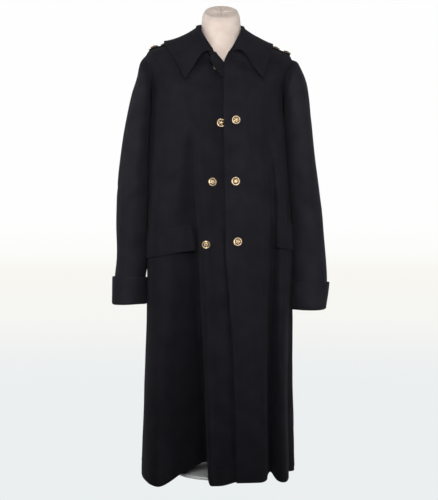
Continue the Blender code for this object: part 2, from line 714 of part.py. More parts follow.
def dress_form(jersey, lacquer):
    rings = [bust_ring(row) for row in BUST] + [form_neck_ring(row) for row in FORM_NECK]
    for point in rings[0]:
        point.z = BUST[0].level
    mesh = grid_mesh("form_bust", rings, closed=True)
    shape = bmesh.new()
    shape.from_mesh(mesh)
    bmesh.ops.holes_fill(shape, edges=shape.edges)
    bmesh.ops.recalc_face_normals(shape, faces=shape.faces)
    shape.to_mesh(mesh)
    shape.free()
    add_object("form_bust", mesh, jersey)
    pole_low, pole_top = BASE_HEIGHT + SEAM_GAP, BUST[0].level - SEAM_GAP
    pole = turned("form_pole", [(POLE_RADIUS, pole_low), (POLE_RADIUS, pole_top)], ROUND_SIDES, lacquer)
    pole.data.set_sharp_from_angle(angle=SHARP)
    rim, top = BASE_HEIGHT - BASE_CHAMFER, BASE_RADIUS - BASE_CHAMFER
    plate = [(BASE_RADIUS, 0), (BASE_RADIUS, rim), (top, BASE_HEIGHT)]
    base = turned("form_base", plate, 2 * FORM_SIDES, lacquer)
    base.location.y = BASE_Y
    base.data.set_sharp_from_angle(angle=SHARP)


def main():
    for obj in list(bpy.data.objects):
        bpy.data.objects.remove(obj)
    cloth = material("wool_melton", (0.014, 0.014, 0.018), 0.95)
    gilt = material("gilt_brass", (0.78, 0.58, 0.28), 0.25, 1.0)
    jersey = material("jersey", (0.74, 0.66, 0.59), 0.9)
    lacquer = material("white_lacquer", (0.8, 0.8, 0.79), 0.4)
    body_panels(cloth)
    sleeves(cloth)
    collar(cloth)
    lapel(cloth)
    pocket_flaps(cloth)
    shoulder_straps(cloth)
    buttons(gilt)
    studs(gilt)
    dress_form(jersey, lacquer)


main()
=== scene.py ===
"""The looks of a military greatcoat on a limbless dress form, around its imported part, in metres, +Z up.

The coat's front is towards -Y and the wearer's right towards -X. The panels are one wrapped surface, cut at
its seams. A place on it has a level, which is the height of its ring at the wearer's right side, and a turn
in degrees: 0 at the centre front, 90 at the wearer's right side, 180 at the back, 270 at the wearer's left
side and 360 at the centre front again.
"""

from collections import namedtuple

import bpy
import numpy as np
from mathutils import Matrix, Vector
from mathutils.kdtree import KDTree

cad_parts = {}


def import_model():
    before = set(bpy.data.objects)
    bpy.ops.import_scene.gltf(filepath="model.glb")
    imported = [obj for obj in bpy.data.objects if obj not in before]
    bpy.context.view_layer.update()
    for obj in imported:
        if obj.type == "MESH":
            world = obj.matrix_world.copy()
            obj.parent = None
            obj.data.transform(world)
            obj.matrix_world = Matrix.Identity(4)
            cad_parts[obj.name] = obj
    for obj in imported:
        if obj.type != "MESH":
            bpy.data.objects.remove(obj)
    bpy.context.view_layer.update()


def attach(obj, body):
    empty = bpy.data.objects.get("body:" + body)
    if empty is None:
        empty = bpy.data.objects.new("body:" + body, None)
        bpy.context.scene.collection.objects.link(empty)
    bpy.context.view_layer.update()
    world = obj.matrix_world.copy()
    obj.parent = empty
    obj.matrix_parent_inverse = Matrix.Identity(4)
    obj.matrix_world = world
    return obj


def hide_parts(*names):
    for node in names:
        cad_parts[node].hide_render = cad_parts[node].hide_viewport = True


def table(columns, *rows):
    """Rows of values with named columns."""
    row_type = namedtuple("Row", columns)
    return [row_type(*row) for row in rows]


MM = 0.001

# Walls and gaps
CLOTH = 0.003
COLLAR_CLOTH = 0.0035
SEAM_GAP = 0.0005
LAY_GAP = 0.0010            # under what lies on a panel
UNDERLAP = 0.0145           # how far the right front lies behind the left one
UNDERLAP_TURNS = (1.0, 14.0)  # the right front dips behind the left one between these turns

# The coat's rings, from the hem up: heights at the side, front and back, then half widths and depths
SECTIONS = table(
    "name level front_z back_z left_drop half_right half_left front back",
    ("hem", 0.0065, 0.0065, 0.0065, 0.000, 0.219, 0.208, 0.205, 0.205),
    ("shin", 0.197, 0.197, 0.197, 0.000, 0.216, 0.205, 0.192, 0.190),
    ("knee", 0.387, 0.387, 0.387, 0.000, 0.210, 0.202, 0.181, 0.175),
    ("thigh", 0.517, 0.517, 0.517, 0.000, 0.206, 0.204, 0.172, 0.164),
    ("hip", 0.667, 0.667, 0.667, 0.000, 0.206, 0.207, 0.164, 0.153),
    ("waist", 0.827, 0.827, 0.827, 0.000, 0.205, 0.197, 0.156, 0.143),
    ("chest", 0.967, 0.962, 0.967, 0.000, 0.201, 0.186, 0.149, 0.136),
    ("armpit", 1.067, 1.042, 1.062, 0.004, 0.196, 0.180, 0.141, 0.131),
    ("blade", 1.137, 1.079, 1.107, 0.010, 0.203, 0.193, 0.134, 0.126),
    ("tip", 1.201, 1.115, 1.155, 0.015, 0.204, 0.200, 0.124, 0.114),
    ("shoulder", 1.223, 1.145, 1.201, 0.009, 0.138, 0.138, 0.103, 0.086),
    ("neck", 1.249, 1.181, 1.253, 0.000, 0.068, 0.068, 0.072, 0.062),
)
LEVEL = {row.name: row.level for row in SECTIONS}
HEM, ARMPIT, TIP, NECK = LEVEL["hem"], LEVEL["armpit"], LEVEL["tip"], LEVEL["neck"]
SQUARENESS = 2.4            # 2 would be an ellipse

# Folds, by turn: where the cloth's edge lies at the hem, how far it rises there, and the fold's top level
FOLDS = table(
    "name turn hem_x hem_y rise start",
    ("right centre", 0, 0.004, -0.206, 0.000, 0.687),
    ("right roll front", 6, -0.013, -0.206, 0.000, 0.967),
    ("right roll", 11, -0.028, -0.195, 0.001, 0.967),
    ("right roll side", 14, -0.033, -0.152, 0.009, 0.967),
    ("pleat wall", 17, -0.032, -0.086, 0.019, 0.967),
    ("pleat bottom", 20, -0.037, -0.014, 0.030, 0.967),
    ("pleat rise", 25, -0.063, -0.046, 0.027, 0.907),
    ("pleat bank", 32, -0.100, -0.106, 0.019, 0.837),
    ("lobe rise", 41, -0.138, -0.166, 0.004, 0.787),
    ("lobe", 50, -0.163, -0.192, -0.003, 0.787),
    ("lobe fall", 60, -0.188, -0.173, -0.001, 0.787),
    ("right flank", 70, -0.206, -0.126, 0.002, 0.787),
    ("right hip", 80, -0.217, -0.062, 0.003, 0.737),
    ("right seam", 90, -0.221, 0.002, 0.004, 0.687),
    ("right back flank", 103, -0.215, 0.070, 0.005, 0.707),
    ("back flute 1", 117, -0.190, 0.140, 0.004, 0.787),
    ("back hollow 1", 132, -0.132, 0.134, 0.009, 0.787),
    ("back flute 2", 146, -0.102, 0.188, 0.004, 0.847),
    ("back hollow 2", 160, -0.056, 0.170, 0.008, 0.827),
    ("back flute 3", 174, -0.020, 0.207, 0.003, 0.907),
    ("back hollow 3", 188, 0.022, 0.176, 0.008, 0.907),
    ("back flute 4", 203, 0.070, 0.202, 0.004, 0.807),
    ("back hollow 4", 218, 0.106, 0.150, 0.008, 0.787),
    ("back flute 5", 233, 0.158, 0.166, 0.004, 0.827),
    ("left back flank", 250, 0.211, 0.102, 0.005, 0.737),
    ("left seam", 270, 0.2146, 0.030, 0.006, 0.687),
    ("left hip", 279, 0.208, -0.022, 0.007, 0.647),
    ("left hollow", 287, 0.187, -0.060, 0.010, 0.607),
    ("left flank", 294, 0.188, -0.118, 0.007, 0.687),
    ("left roll", 302, 0.175, -0.166, 0.004, 0.837),
    ("left roll fall", 310, 0.156, -0.150, 0.006, 0.937),
    ("left pleat bottom", 316, 0.141, -0.078, 0.014, 1.007),
    ("left pleat wall", 321, 0.131, -0.112, 0.012, 1.007),
    ("left front turn", 326, 0.126, -0.165, 0.010, 0.967),
    ("left front side", 331, 0.113, -0.193, 0.009, 0.887),
    ("left front", 338, 0.087, -0.201, 0.009, 0.787),
    ("left front middle", 345, 0.064, -0.204, 0.009, 0.687),
    ("left front edge", 352, 0.042, -0.206, 0.009, 0.687),
)
UNDERLAP_FROM = 331         # from this turn on, the part under the left front copies its folds

# Front edges, from the hem up: x of the right front's hidden edge and of the left front's edge
EDGES = table(
    "level right_x left_x",
    (0.0065, 0.102, 0.0425),
    (0.153, 0.100, 0.0400),
    (0.327, 0.098, 0.0347),
    (0.494, 0.096, 0.0251),
    (0.587, 0.095, 0.0177),
    (0.707, 0.093, 0.0142),
    (0.967, 0.086, 0.0102),
    (1.067, 0.074, 0.0100),
    (1.201, 0.043, 0.0100),
    (1.223, 0.024, 0.0110),
    (1.236, 0.010, 0.0122),
    (1.249, -0.015, 0.0240),
)

# Armholes: how far the panels stop short of the side seam's line, in degrees
ARM_FRONT, ARM_BACK, ARM_ROUND = 22.0, 28.0, 0.8
ARM_ROLL = 0.07             # share of the armhole over which the sleeve head runs on from the shoulder

# Sleeves, from the head down: the outer and inner edge seen from the front, the front and back reach, and how
# far the ring leans on the coat's side
GIRTH = "name outer_x outer_z inner_x inner_z front_y back_y lean"
SLEEVE_RIGHT = table(
    GIRTH,
    ("head", -0.2225, 1.172, -0.2005, 1.053, -0.084, 0.083, 0.002),
    ("cap", -0.2335, 1.128, -0.2008, 1.030, -0.088, 0.087, 0.004),
    ("biceps", -0.248, 1.083, -0.2027, 0.999, -0.089, 0.089, 0.006),
    ("upper", -0.262, 1.012, -0.2054, 0.945, -0.088, 0.089, 0.007),
    ("above elbow", -0.2765, 0.923, -0.2077, 0.872, -0.087, 0.087, 0.008),
    ("elbow", -0.287, 0.822, -0.2092, 0.787, -0.087, 0.081, 0.008),
    ("below elbow", -0.291, 0.717, -0.2120, 0.697, -0.085, 0.074, 0.007),
    ("forearm", -0.292, 0.617, -0.2128, 0.609, -0.081, 0.067, 0.004),
    ("wrist", -0.2970, 0.557, -0.2187, 0.555, -0.079, 0.063, 0.003),
    ("end", -0.3005, 0.491, -0.2186, 0.493, -0.078, 0.061, 0.007),
)
SLEEVE_LEFT = table(
    GIRTH,
    ("head", 0.2175, 1.171, 0.1850, 1.049, -0.084, 0.083, 0.002),
    ("cap", 0.2366, 1.128, 0.1848, 1.027, -0.088, 0.087, 0.004),
    ("biceps", 0.2475, 1.083, 0.1871, 0.995, -0.089, 0.089, 0.006),
    ("upper", 0.256, 1.012, 0.1916, 0.942, -0.088, 0.089, 0.007),
    ("above elbow", 0.265, 0.923, 0.1975, 0.872, -0.087, 0.087, 0.008),
    ("elbow", 0.278, 0.817, 0.2038, 0.787, -0.086, 0.081, 0.009),
    ("below elbow", 0.291, 0.712, 0.2125, 0.697, -0.084, 0.074, 0.010),
    ("forearm", 0.2985, 0.617, 0.2125, 0.609, -0.080, 0.067, 0.010),
    ("wrist", 0.3015, 0.544, 0.2165, 0.544, -0.078, 0.063, 0.010),
    ("end", 0.295, 0.477, 0.2122, 0.478, -0.077, 0.061, 0.008),
)
SLEEVE_SQUARENESS = 2.3
HEAD_ROWS = 4               # the armhole's own shape has faded out at this row
CUFF_DEPTH = 0.070
CUFF_FLARE = 0.003          # the cuff's upper edge stands this far off the sleeve

# Collar, from the left point round the back to the right point: its roll line, its outer edge and how far
# its fall bulges between them, with a curl near the roll at its two points
COLLAR = table(
    "name turn roll_x roll_y roll_z edge_x edge_y edge_z bulge curl",
    ("left point", 341.5, 0.0325, -0.0690, 1.2010, 0.1185, -0.150, 1.108, 0.004, 0.016),
    ("left front", 310, 0.056, -0.048, 1.247, 0.137, -0.094, 1.167, 0.003, 0.000),
    ("left yoke", 292, 0.062, -0.022, 1.267, 0.148, -0.050, 1.2070, -0.004, 0.000),
    ("left shoulder", 270, 0.066, 0.004, 1.277, 0.149, 0.000, 1.2235, -0.0035, 0.000),
    ("left back", 225, 0.047, 0.047, 1.290, 0.118, 0.088, 1.195, -0.001, 0.000),
    ("centre back", 180, 0.002, 0.062, 1.294, 0.002, 0.124, 1.183, 0.002, 0.000),
    ("right back", 135, -0.044, 0.047, 1.290, -0.122, 0.088, 1.201, -0.002, 0.000),
    ("right shoulder", 90, -0.063, 0.004, 1.279, -0.157, 0.000, 1.2320, -0.007, 0.000),
    ("right yoke", 68, -0.059, -0.022, 1.270, -0.1545, -0.050, 1.2160, -0.005, 0.000),
    ("right front", 50, -0.052, -0.048, 1.251, -0.128, -0.094, 1.171, 0.003, 0.000),
    ("right point", 21.5, -0.0190, -0.0720, 1.1990, -0.0955, -0.150, 1.105, 0.004, 0.0135),
)
ROLL_HALF, ROLL_DROP, ROLL_ROUND = 0.0052, 0.007, 0.7
CURL_PEAK = 9.5             # brings the curl's highest place to 1

# The right front's top corner, turned back: its width, how far its free edge stands off, its fold's rise
LAPEL = table(
    "level width lift roll",
    (1.2478, 0.0125, 0.0050, 0.0095),
    (1.2425, 0.025, 0.0080, 0.0105),
    (1.236, 0.0395, 0.0130, 0.005),
    (1.2295, 0.052, 0.0165, 0.005),
    (1.223, 0.053, 0.0155, 0.002),
    (1.213, 0.042, 0.0095, 0.001),
    (1.201, 0.037, 0.0045, 0.000),
)
LAPEL_CURVE = 0.75          # below 1, it rises fast at its fold

# Pocket flaps: turns of the inner and outer end, and the levels of the two ends' lower edges
FLAPS = table(
    "side inner outer inner_low outer_low depth lift",
    ("right", 24.0, 84.0, 0.629, 0.611, 0.074, 0.022),
    ("left", 311.0, 278.0, 0.641, 0.633, 0.074, 0.005),
)
FLAP_FREE, FLAP_CURL = 0.3, 1.5  # share of a flap, from its inner end, that stands off, and how sharply
FLAP_TOP_FREE = 0.5         # how much less its upper edge stands off

# Shoulder straps and the studs on them
STRAP_HALF = 0.024
STRAP_LEVELS = (1.2035, 1.233)  # of its outer and inner end
STUDS = table(
    "name turn level",
    ("stud_right_1", 86.8, 1.2095),
    ("stud_right_2", 89.0, 1.2176),
    ("stud_left_1", 273.2, 1.2075),
    ("stud_left_2", 273.2, 1.2170),
)
STUD_RADIUS, STUD_HEIGHT = 0.0110, 0.0058

# Buttons: x and level on the front that carries them, their gap from it and how far they droop, in degrees
BUTTONS = table(
    "name x level gap droop",
    ("button_left_1", 0.0434, 1.0005, 0.0004, 0),
    ("button_left_2", 0.0421, 0.824, 0.0004, 0),
    ("button_left_3", 0.0476, 0.660, 0.0004, 0),
    ("button_right_1", 0.0029, 0.9958, 0.0004, 0),
    ("button_right_2", -0.0234, 0.8235, 0.0009, 0),
    ("button_right_3", -0.0468, 0.6545, 0.0024, 28),
    ("button_right_4", -0.0105, 1.2262, 0.0011, 0),
)
BUTTON_RADIUS, BUTTON_HEIGHT, SHANK_RADIUS, SHANK = 0.0112, 0.0052, 0.003, 0.0030

# Dress form: how far it lies inside the coat's rings, then its neck's rings, its pole and its base
BUST = table(
    "level inset front_inset",
    (0.607, 0.078, 0.000),
    (0.707, 0.074, 0.000),
    (0.807, 0.066, 0.000),
    (0.907, 0.045, 0.000),
    (0.987, 0.028, 0.004),
    (1.067, 0.016, 0.012),
    (1.137, 0.010, 0.016),
    (1.192, 0.0065, 0.018),
    (1.211, 0.0042, 0.019),
    (1.223, 0.0042, 0.018),
    (1.237, 0.0042, 0.021),
    (1.249, 0.0050, 0.0075),
)
FRONT_TURNS = (18, 60)      # the form's front inset fades out between these turns
ARM_PLATE = 0.172           # the form is cut flat here at each side
FORM_NECK = table(
    "front_z back_z half front back",
    (1.209, 1.271, 0.0590, 0.0600, 0.0530),
    (1.233, 1.289, 0.0572, 0.0560, 0.0490),
    (1.261, 1.315, 0.0550, 0.0520, 0.0440),
    (1.279, 1.332, 0.0525, 0.0495, 0.0405),
    (1.287, 1.339, 0.0490, 0.0455, 0.0365),
)
NECK_X = 0.003
BASE_RADIUS, BASE_HEIGHT, BASE_CHAMFER = 0.125, 0.008, 0.002
BASE_Y = 0.030              # the base lies behind the front hem
BASE_MIDDLE = 0.010         # the radius of its innermost rings
POLE_RADIUS = 0.0125
EDGE_BEVEL = 0.001          # of pole and base
# The neck's cap: the rise of its dome, the depth and width of its middle dip, and the depth of its puckers
CAP_DOME, CAP_DIP, CAP_DIP_WIDTH, CAP_PUCKER = 0.0030, 0.0045, 0.10, 0.0011
PUCKERS = ((13, 0.6, 1.0), (21, 2.2, 0.6), (8, 4.0, 0.5))  # how many go round, their phase and share

# Creases in millimetres, by piece and by the side they are seen from: their two ends, how far they bow, how
# wide they are towards -u and +u, and their height. u is x on the front and back, and y on the sides. Minus
# heights are troughs.
Crease = namedtuple("Crease", "u0 z0 u1 z1 bow minus plus height")
CREASES = {
    ("front_left", "front"): (
        (73, 1125, 79, 965, 3, 7, 20, -3),
        (78, 1010, 140, 720, -8, 9, 24, -3.6),
        (112, 1090, 146, 650, 6, 10, 16, -3.4),
        (158, 1040, 168, 680, 4, 11, 13, 4),
        (40, 960, 62, 760, -6, 12, 14, -1.4),
        (58, 640, 78, 300, 6, 22, 18, -1.3),
        (96, 560, 104, 60, -5, 20, 26, 1.2),
        (70, 380, 76, 20, 4, 16, 20, -1),
        (18, 1160, 60, 1085, 8, 7, 12, -1.8),
        (20, 1184, 92, 1138, 4, 13, 11, -8.5),
    ),
    ("front_right", "front"): (
        (-18, 1186, -84, 1140, -4, 11, 13, -8.5),
        (8.5, 1215, 12, 640, 0, 17, 12, -7.5),
        (9, 760, 34, 340, 3, 9, 10, -5),
        (29, 440, 41, -60, 2, 8, 10, -4.5),
        (-76, 1010, -94, 680, 4, 22, 9, -4),
        (-50, 1050, -58, 760, -6, 12, 16, 2.4),
        (-98, 1095, -118, 900, 10, 16, 12, -1.8),
        (-180, 1060, -128, 850, -14, 14, 20, -2.4),
        (-168, 960, -150, 700, 8, 16, 14, 2.2),
        (-150, 590, -158, 120, 6, 26, 20, 1.4),
        (-112, 560, -122, 60, -6, 18, 24, -1.6),
        (-184, 470, -192, 40, 4, 15, 18, -1.2),
        (-30, 650, 6, 590, -6, 6, 8, -1.8),
        (-6, 560, -4, 180, 4, 14, 18, -0.9),
        (-18, 960, -8, 700, 6, 12, 10, -1.4),
    ),
    ("front_right", "side"): (
        (-100, 980, -70, 700, 10, 16, 14, -2.4),
        (-60, 620, -78, 120, 8, 14, 20, -3.2),
    ),
    ("front_left", "side"): (
        (-90, 960, -66, 640, -10, 14, 18, -2.4),
        (-34, 560, -44, 80, 6, 15, 13, 2.6),
    ),
    ("back", "back"): (
        (-150, 1070, -110, 820, 12, 16, 22, -3),
        (142, 1080, 118, 840, -10, 22, 15, -2.8),
        (-46, 1060, -30, 640, 6, 16, 24, -3),
        (40, 1010, 52, 700, -8, 24, 14, -2.6),
        (4, 1120, 8, 900, 3, 13, 13, 2),
        (-96, 900, -104, 560, -6, 14, 18, 2.6),
        (90, 880, 98, 500, 6, 20, 13, 2.2),
        (-160, 640, -150, 200, 6, 12, 18, -2.6),
        (20, 560, 30, 80, -5, 11, 16, -2.2),
        (132, 520, 140, 60, 5, 16, 11, -2.4),
        (-72, 400, -80, 30, 4, 12, 15, 2),
    ),
    ("back", "side"): (
        (60, 900, 78, 520, 10, 14, 20, -2.6),
        (96, 480, 100, 80, -6, 13, 17, -2.4),
    ),
    ("sleeve_right", "front"): (
        (-206, 1140, -248, 985, -4, 6, 12, 3),
        (-243, 1010, -276, 670, -5, 6, 13, 3.4),
        (-218, 1070, -250, 800, -6, 10, 16, -3.2),
        (-208, 930, -236, 640, 8, 16, 12, -2.8),
        (-212, 870, -258, 815, 6, 8, 10, -1.8),
        (-214, 790, -266, 752, -5, 9, 8, -1.6),
        (-266, 700, -262, 580, 4, 9, 13, -2.2),
    ),
    ("sleeve_right", "side"): (
        (-28, 1120, -10, 860, 8, 14, 18, -3),
        (30, 1060, 20, 800, -8, 16, 12, -2.6),
        (2, 780, -12, 590, 6, 13, 16, -2.6),
        (-44, 830, 16, 770, 6, 8, 10, -2),
    ),
    ("sleeve_right", "back"): (
        (-222, 1050, -236, 800, 6, 12, 15, -2.8),
        (-240, 830, -250, 600, -6, 12, 16, 2.8),
    ),
    ("sleeve_left", "front"): (
        (209, 1142, 182, 1035, 3, 6, 11, -3.8),
        (226, 1110, 204, 960, -4, 10, 8, -2.6),
        (240, 1060, 262, 760, 6, 18, 12, 3),
        (214, 980, 226, 700, -6, 12, 18, -3),
        (262, 960, 282, 640, -6, 8, 12, -2.6),
        (206, 850, 252, 800, -6, 9, 8, -1.8),
        (214, 770, 262, 738, 5, 8, 9, -1.6),
        (250, 680, 254, 560, -4, 12, 10, -2.2),
    ),
    ("sleeve_left", "side"): (
        (-22, 1110, -4, 840, -8, 18, 13, -3),
        (34, 1040, 22, 790, 8, 12, 16, -2.6),
        (-14, 760, 4, 560, -6, 15, 12, -2.6),
    ),
    ("sleeve_left", "back"): (
        (216, 1030, 232, 780, -6, 15, 12, -2.8),
        (246, 800, 262, 580, 6, 16, 11, 2.6),
    ),
}
Face = namedtuple("Face", "u normal sign")
FACES = {"front": Face(0, 1, -1), "back": Face(0, 1, 1), "side": Face(1, 0, 0)}
CREASE_END = 0.3            # share of a crease's length over which each end fades out
CREASE_SHOWN = 0.5          # a crease is full where the cloth looks this much towards its side

# Slow unevenness of all the cloth: turns per metre along each axis, phase and height
WAVES = table(
    "x y z phase height",
    (3.1, 1.7, 1.3, 0.4, 0.0007),
    (-4.3, 2.9, 2.1, 1.9, 0.0005),
    (6.7, -3.7, 3.4, 3.1, 0.0004),
    (9.1, 7.3, -5.2, 5.0, 0.0003),
    (-14.0, 11.0, 8.5, 2.3, 0.00018),
)
FOLD_SOFT = 0.08            # share of a fold's length over which it starts
LAPEL_ROUND = 0.003         # how far the turned-back corner's fold stands out
# The left front's top corner is drawn up by this much, over this reach along it, from this level on
CORNER_RISE, CORNER_REACH, CORNER_LEVEL = 0.0065, 0.016, 1.232
LAPEL_RISE, LAPEL_LEVEL = 0.005, 1.238  # the turned-back corner's top edge goes up under the collar's end
ARM_CALM, TIP_CALM = 0.030, 0.010  # creases fade out this near to an armhole, and above the shoulder's tip
# The part of the coat that a sleeve can lie against, and how near to it a sleeve is laid on
SIDE_X, SIDE_LOW, SIDE_HIGH, SIDE_REACH = 0.13, 0.42, 1.09, 0.03

# Sewing: stitches of this length and thickness, this far apart and this far in from an edge
STITCH, STITCH_PITCH, THREAD = 0.0034, 0.0050, 0.00042
EDGE_ROW, HEM_ROW = 0.0065, 0.040
# Rings of one stitch: shares of its half length, of its thickness, and its height in thicknesses
STITCH_RINGS = ((-1.0, 0.15, -0.6), (-0.8, 0.75, 0.1), (0.0, 1.0, 0.35), (0.8, 0.75, 0.1), (1.0, 0.15, -0.6))
STITCH_SIDES = 6
RIM_SHARE, RIM_ANGLE = 0.3, 50  # edges over this angle are rounded by this share of the cloth's thickness

# Buttons and studs: heights over rings of their faces, then their backs as shares of their radius and height
BUTTON_FACE = [(1.00, 0.30), (0.985, 0.44), (0.94, 0.50), (0.89, 0.44), (0.85, 0.36), (0.80, 0.40),
               (0.65, 0.56), (0.45, 0.72), (0.25, 0.82), (0.0, 0.86)]
STUD_FACE = [(1.00, 0.20), (0.97, 0.40), (0.88, 0.48), (0.78, 0.40), (0.70, 0.44), (0.50, 0.74),
             (0.25, 0.94), (0.0, 1.0)]
BUTTON_BACK, BUTTON_EDGE, BUTTON_EDGE_RISE, STUD_BACK = 0.86, 0.95, 0.1, 0.96
BACK_MIDDLE, FACE_MIDDLE = 0.0004, 0.02  # the radius of a back's innermost ring, and a face's as a share
# Their motifs, in shares of the radius: petals round a boss inside a rim, and beads round a plain middle.
# The rises are shares of the height.
PETALS, PETAL_FOOT, PETAL_TIP, PETAL_ROUND, PETAL_RISE = 5, (0.24, 0.34), (0.50, 0.64), 0.16, 0.20
BOSS, BOSS_RISE, BUTTON_RIM = (0.13, 0.20), 0.16, (0.74, 0.84)
# BEAD_TONE sets how light the bead ring stays between its beads, under the patina and painted shade
BEADS, BEAD_RING, BEAD_WIDTH, BEAD_RISE, BEAD_TONE = 20, 0.88, 0.07, 0.16, 0.6
STUD_MIDDLE = (0.58, 0.72)

# Which sides of a piece's grid are sewn, and how far in from them
ALL_ROUND = dict.fromkeys(("bottom", "first", "last", "top"), EDGE_ROW)
LONG_EDGES = dict.fromkeys(("first", "last"), EDGE_ROW)
SEWN = {
    "front_left": {"last": EDGE_ROW, "bottom": HEM_ROW},
    "front_right": {"first": EDGE_ROW, "bottom": HEM_ROW},
    "back": {"bottom": HEM_ROW},
    "collar": {"top": EDGE_ROW, **LONG_EDGES},
    "lapel_right": {"last": EDGE_ROW},
    "pocket_flap_right": ALL_ROUND,
    "pocket_flap_left": ALL_ROUND,
    "shoulder_strap_right": LONG_EDGES,
    "shoulder_strap_left": LONG_EDGES,
    "cuff_right": {"top": EDGE_ROW},
    "cuff_left": {"top": EDGE_ROW},
}

# The flat cut of each cloth piece: its greatest width and length, its area, and how and on what it is held
CUTS = table(
    "node wide long area held rests_on",
    ("front_right", 0.743, 1.395, 0.5878, "draped", ("form_bust",)),
    ("front_left", 0.507, 1.385, 0.4140, "draped", ("form_bust",)),
    ("back", 0.757, 1.410, 0.7433, "draped", ("form_bust",)),
    ("sleeve_right", 0.465, 0.724, 0.2745, "hung", ("front_right", "back")),
    ("sleeve_left", 0.482, 0.729, 0.2826, "hung", ("front_left", "back")),
    ("cuff_right", 0.429, 0.083, 0.0336, "folded", ("sleeve_right",)),
    ("cuff_left", 0.445, 0.082, 0.0345, "folded", ("sleeve_left",)),
    ("collar", 0.872, 0.178, 0.0843, "folded", ("front_right", "front_left", "back")),
    ("lapel_right", 0.068, 0.108, 0.0050, "folded", ("front_right",)),
    ("pocket_flap_right", 0.221, 0.075, 0.0158, "hung", ("front_right",)),
    ("pocket_flap_left", 0.122, 0.074, 0.0086, "hung", ("front_left",)),
    ("shoulder_strap_right", 0.051, 0.097, 0.0048, "laid", ("front_right", "back")),
    ("shoulder_strap_left", 0.051, 0.096, 0.0048, "laid", ("front_left", "back")),
)

# Finishes: their colours, the wool's soft shine, and painted light: how much lighter the wool is made on some
# pieces
NOISE_LOW, NOISE_HIGH = 0.3, 0.7  # a noise mostly lies between these
WOOL_DARK, WOOL_LIGHT = (0.0080, 0.0078, 0.0100), (0.0115, 0.0113, 0.0142)
FLECK_DARK, FLECK_LIGHT = (0.7, 0.7, 0.7), (1.9, 1.9, 1.95)
WOOL_NAP = {"Specular IOR Level": 0.02, "Sheen Weight": 0.018, "Sheen Roughness": 0.55,
            "Sheen Tint": (0.80, 0.82, 0.92, 1)}
# Lighter copies of the wool for the sleeves and cuffs: painted light for the light that falls on them from
# the sides
PAINTED_LIGHT_TONE = {"panel": 1.0, "sleeve": 1.36, "cuff": 1.50}
GILT_WORN, GILT, GILT_BRIGHT = (0.26, 0.18, 0.10), (0.58, 0.45, 0.29), (0.74, 0.61, 0.44)
# Colour of the gilt's hollows between the raised places of a motif: patina and painted shade
GILT_PATINA_AND_SHADE = (0.15, 0.105, 0.07)
THREAD_DARK, THREAD_LIGHT = (0.007, 0.007, 0.009), (0.011, 0.011, 0.014)
JERSEY_DARK, JERSEY_LIGHT = (0.535, 0.43, 0.378), (0.61, 0.525, 0.467)
LACQUER_DARK, LACQUER_LIGHT = (0.88, 0.89, 0.89), (0.93, 0.94, 0.94)

# Stage: the floor's and bend's sizes, then screen colours along the way out from the middle
SWEEP_FLOOR, SWEEP_BEND, SWEEP_REACH = 4.6, 3.4, 18.0
SWEEP_MIDDLE, SWEEP_DROP, SWEEP_STEPS = 0.01, 0.002, 24
SWEEP_WALL = (0.5, 8, 12)   # its first and last height over the bend, and how many rings it has
SWEEP = table(
    "reach red green blue",
    (0.0, 235, 239, 240),
    (2.3, 235, 239, 240),
    (4.6, 241, 242, 241),
    (5.4, 245, 245, 242),
    (6.4, 248, 247, 242),
    (6.7, 252, 252, 250),
    (7.1, 254, 254, 254),
)
LIGHTS = table(
    "name place aim wide high spread power colour",
    ("front", (0.0, -3.1, 1.20), (0, 0, 0.92), 2.0, 0.8, 54, 9.3, (1.0, 0.99, 0.98)),
    ("front right", (-1.6, -2.4, 1.20), (0, 0, 0.98), 1.2, 0.9, 60, 1.4, (1.0, 0.99, 0.97)),
    ("front left", (1.6, -2.4, 1.20), (0, 0, 0.98), 1.2, 0.9, 60, 2.0, (0.97, 0.98, 1.0)),
    ("high", (0.0, -2.6, 2.3), (0, 0, 0.95), 1.6, 0.7, 60, 2.6, (1.0, 1.0, 1.0)),
    ("side right", (-2.4, -0.9, 1.25), (0, 0, 1.10), 0.7, 1.0, 45, 2.4, (1.0, 1.0, 1.0)),
    ("side left", (2.4, -0.9, 1.05), (0, 0, 0.90), 0.7, 1.5, 90, 4.4, (1.0, 1.0, 1.0)),
    ("rim right", (-2.0, 1.6, 1.3), (0, 0, 0.95), 0.8, 1.6, 120, 4.0, (1.0, 1.0, 1.0)),
    ("rim left", (2.0, 1.6, 1.3), (0, 0, 0.95), 0.8, 1.6, 120, 4.0, (1.0, 1.0, 1.0)),
    ("back", (0.4, 3.0, 1.5), (0, 0, 0.80), 1.4, 1.0, 70, 5.0, (1.0, 1.0, 1.0)),
)
SKY = table("height light", (0.0, 0.10), (0.46, 0.30), (0.56, 0.75), (1.0, 1.0))
SKY_STRENGTH = 0.012
CAMERA_PLACE, CAMERA_LENS = (-0.00285, -3.2, 0.638), 80.856

# How finely the pieces are divided
BODY_ROWS, ARM_ROWS, TOP_ROWS = 120, 48, 26
PANEL_STEPS = 7
SLEEVE_HALF, SEAM_ROWS, SLEEVE_ROWS, CUFF_ROWS, CURL_ROWS = 36, 5, 150, 22, 6
COLLAR_STEPS, COLLAR_ROWS, FALL_ROWS = 22, 66, 11
LAPEL_ROWS, LAPEL_COLUMNS, LAPEL_FOLD_COLUMNS = 44, 30, 7
FLAP_ROWS, FLAP_COLUMNS = 28, 90
STRAP_ROWS, STRAP_COLUMNS = 30, 17
FORM_SIDES, FORM_ROWS, CAP_ROWS, BASE_EDGE_ROWS = 96, 120, 26, 6
ROUND_SIDES, BUTTON_RINGS, STUD_RINGS = 96, 44, 34
TURN_STEP, LEVEL_STEP = 0.5, 0.002  # for the direction of a face


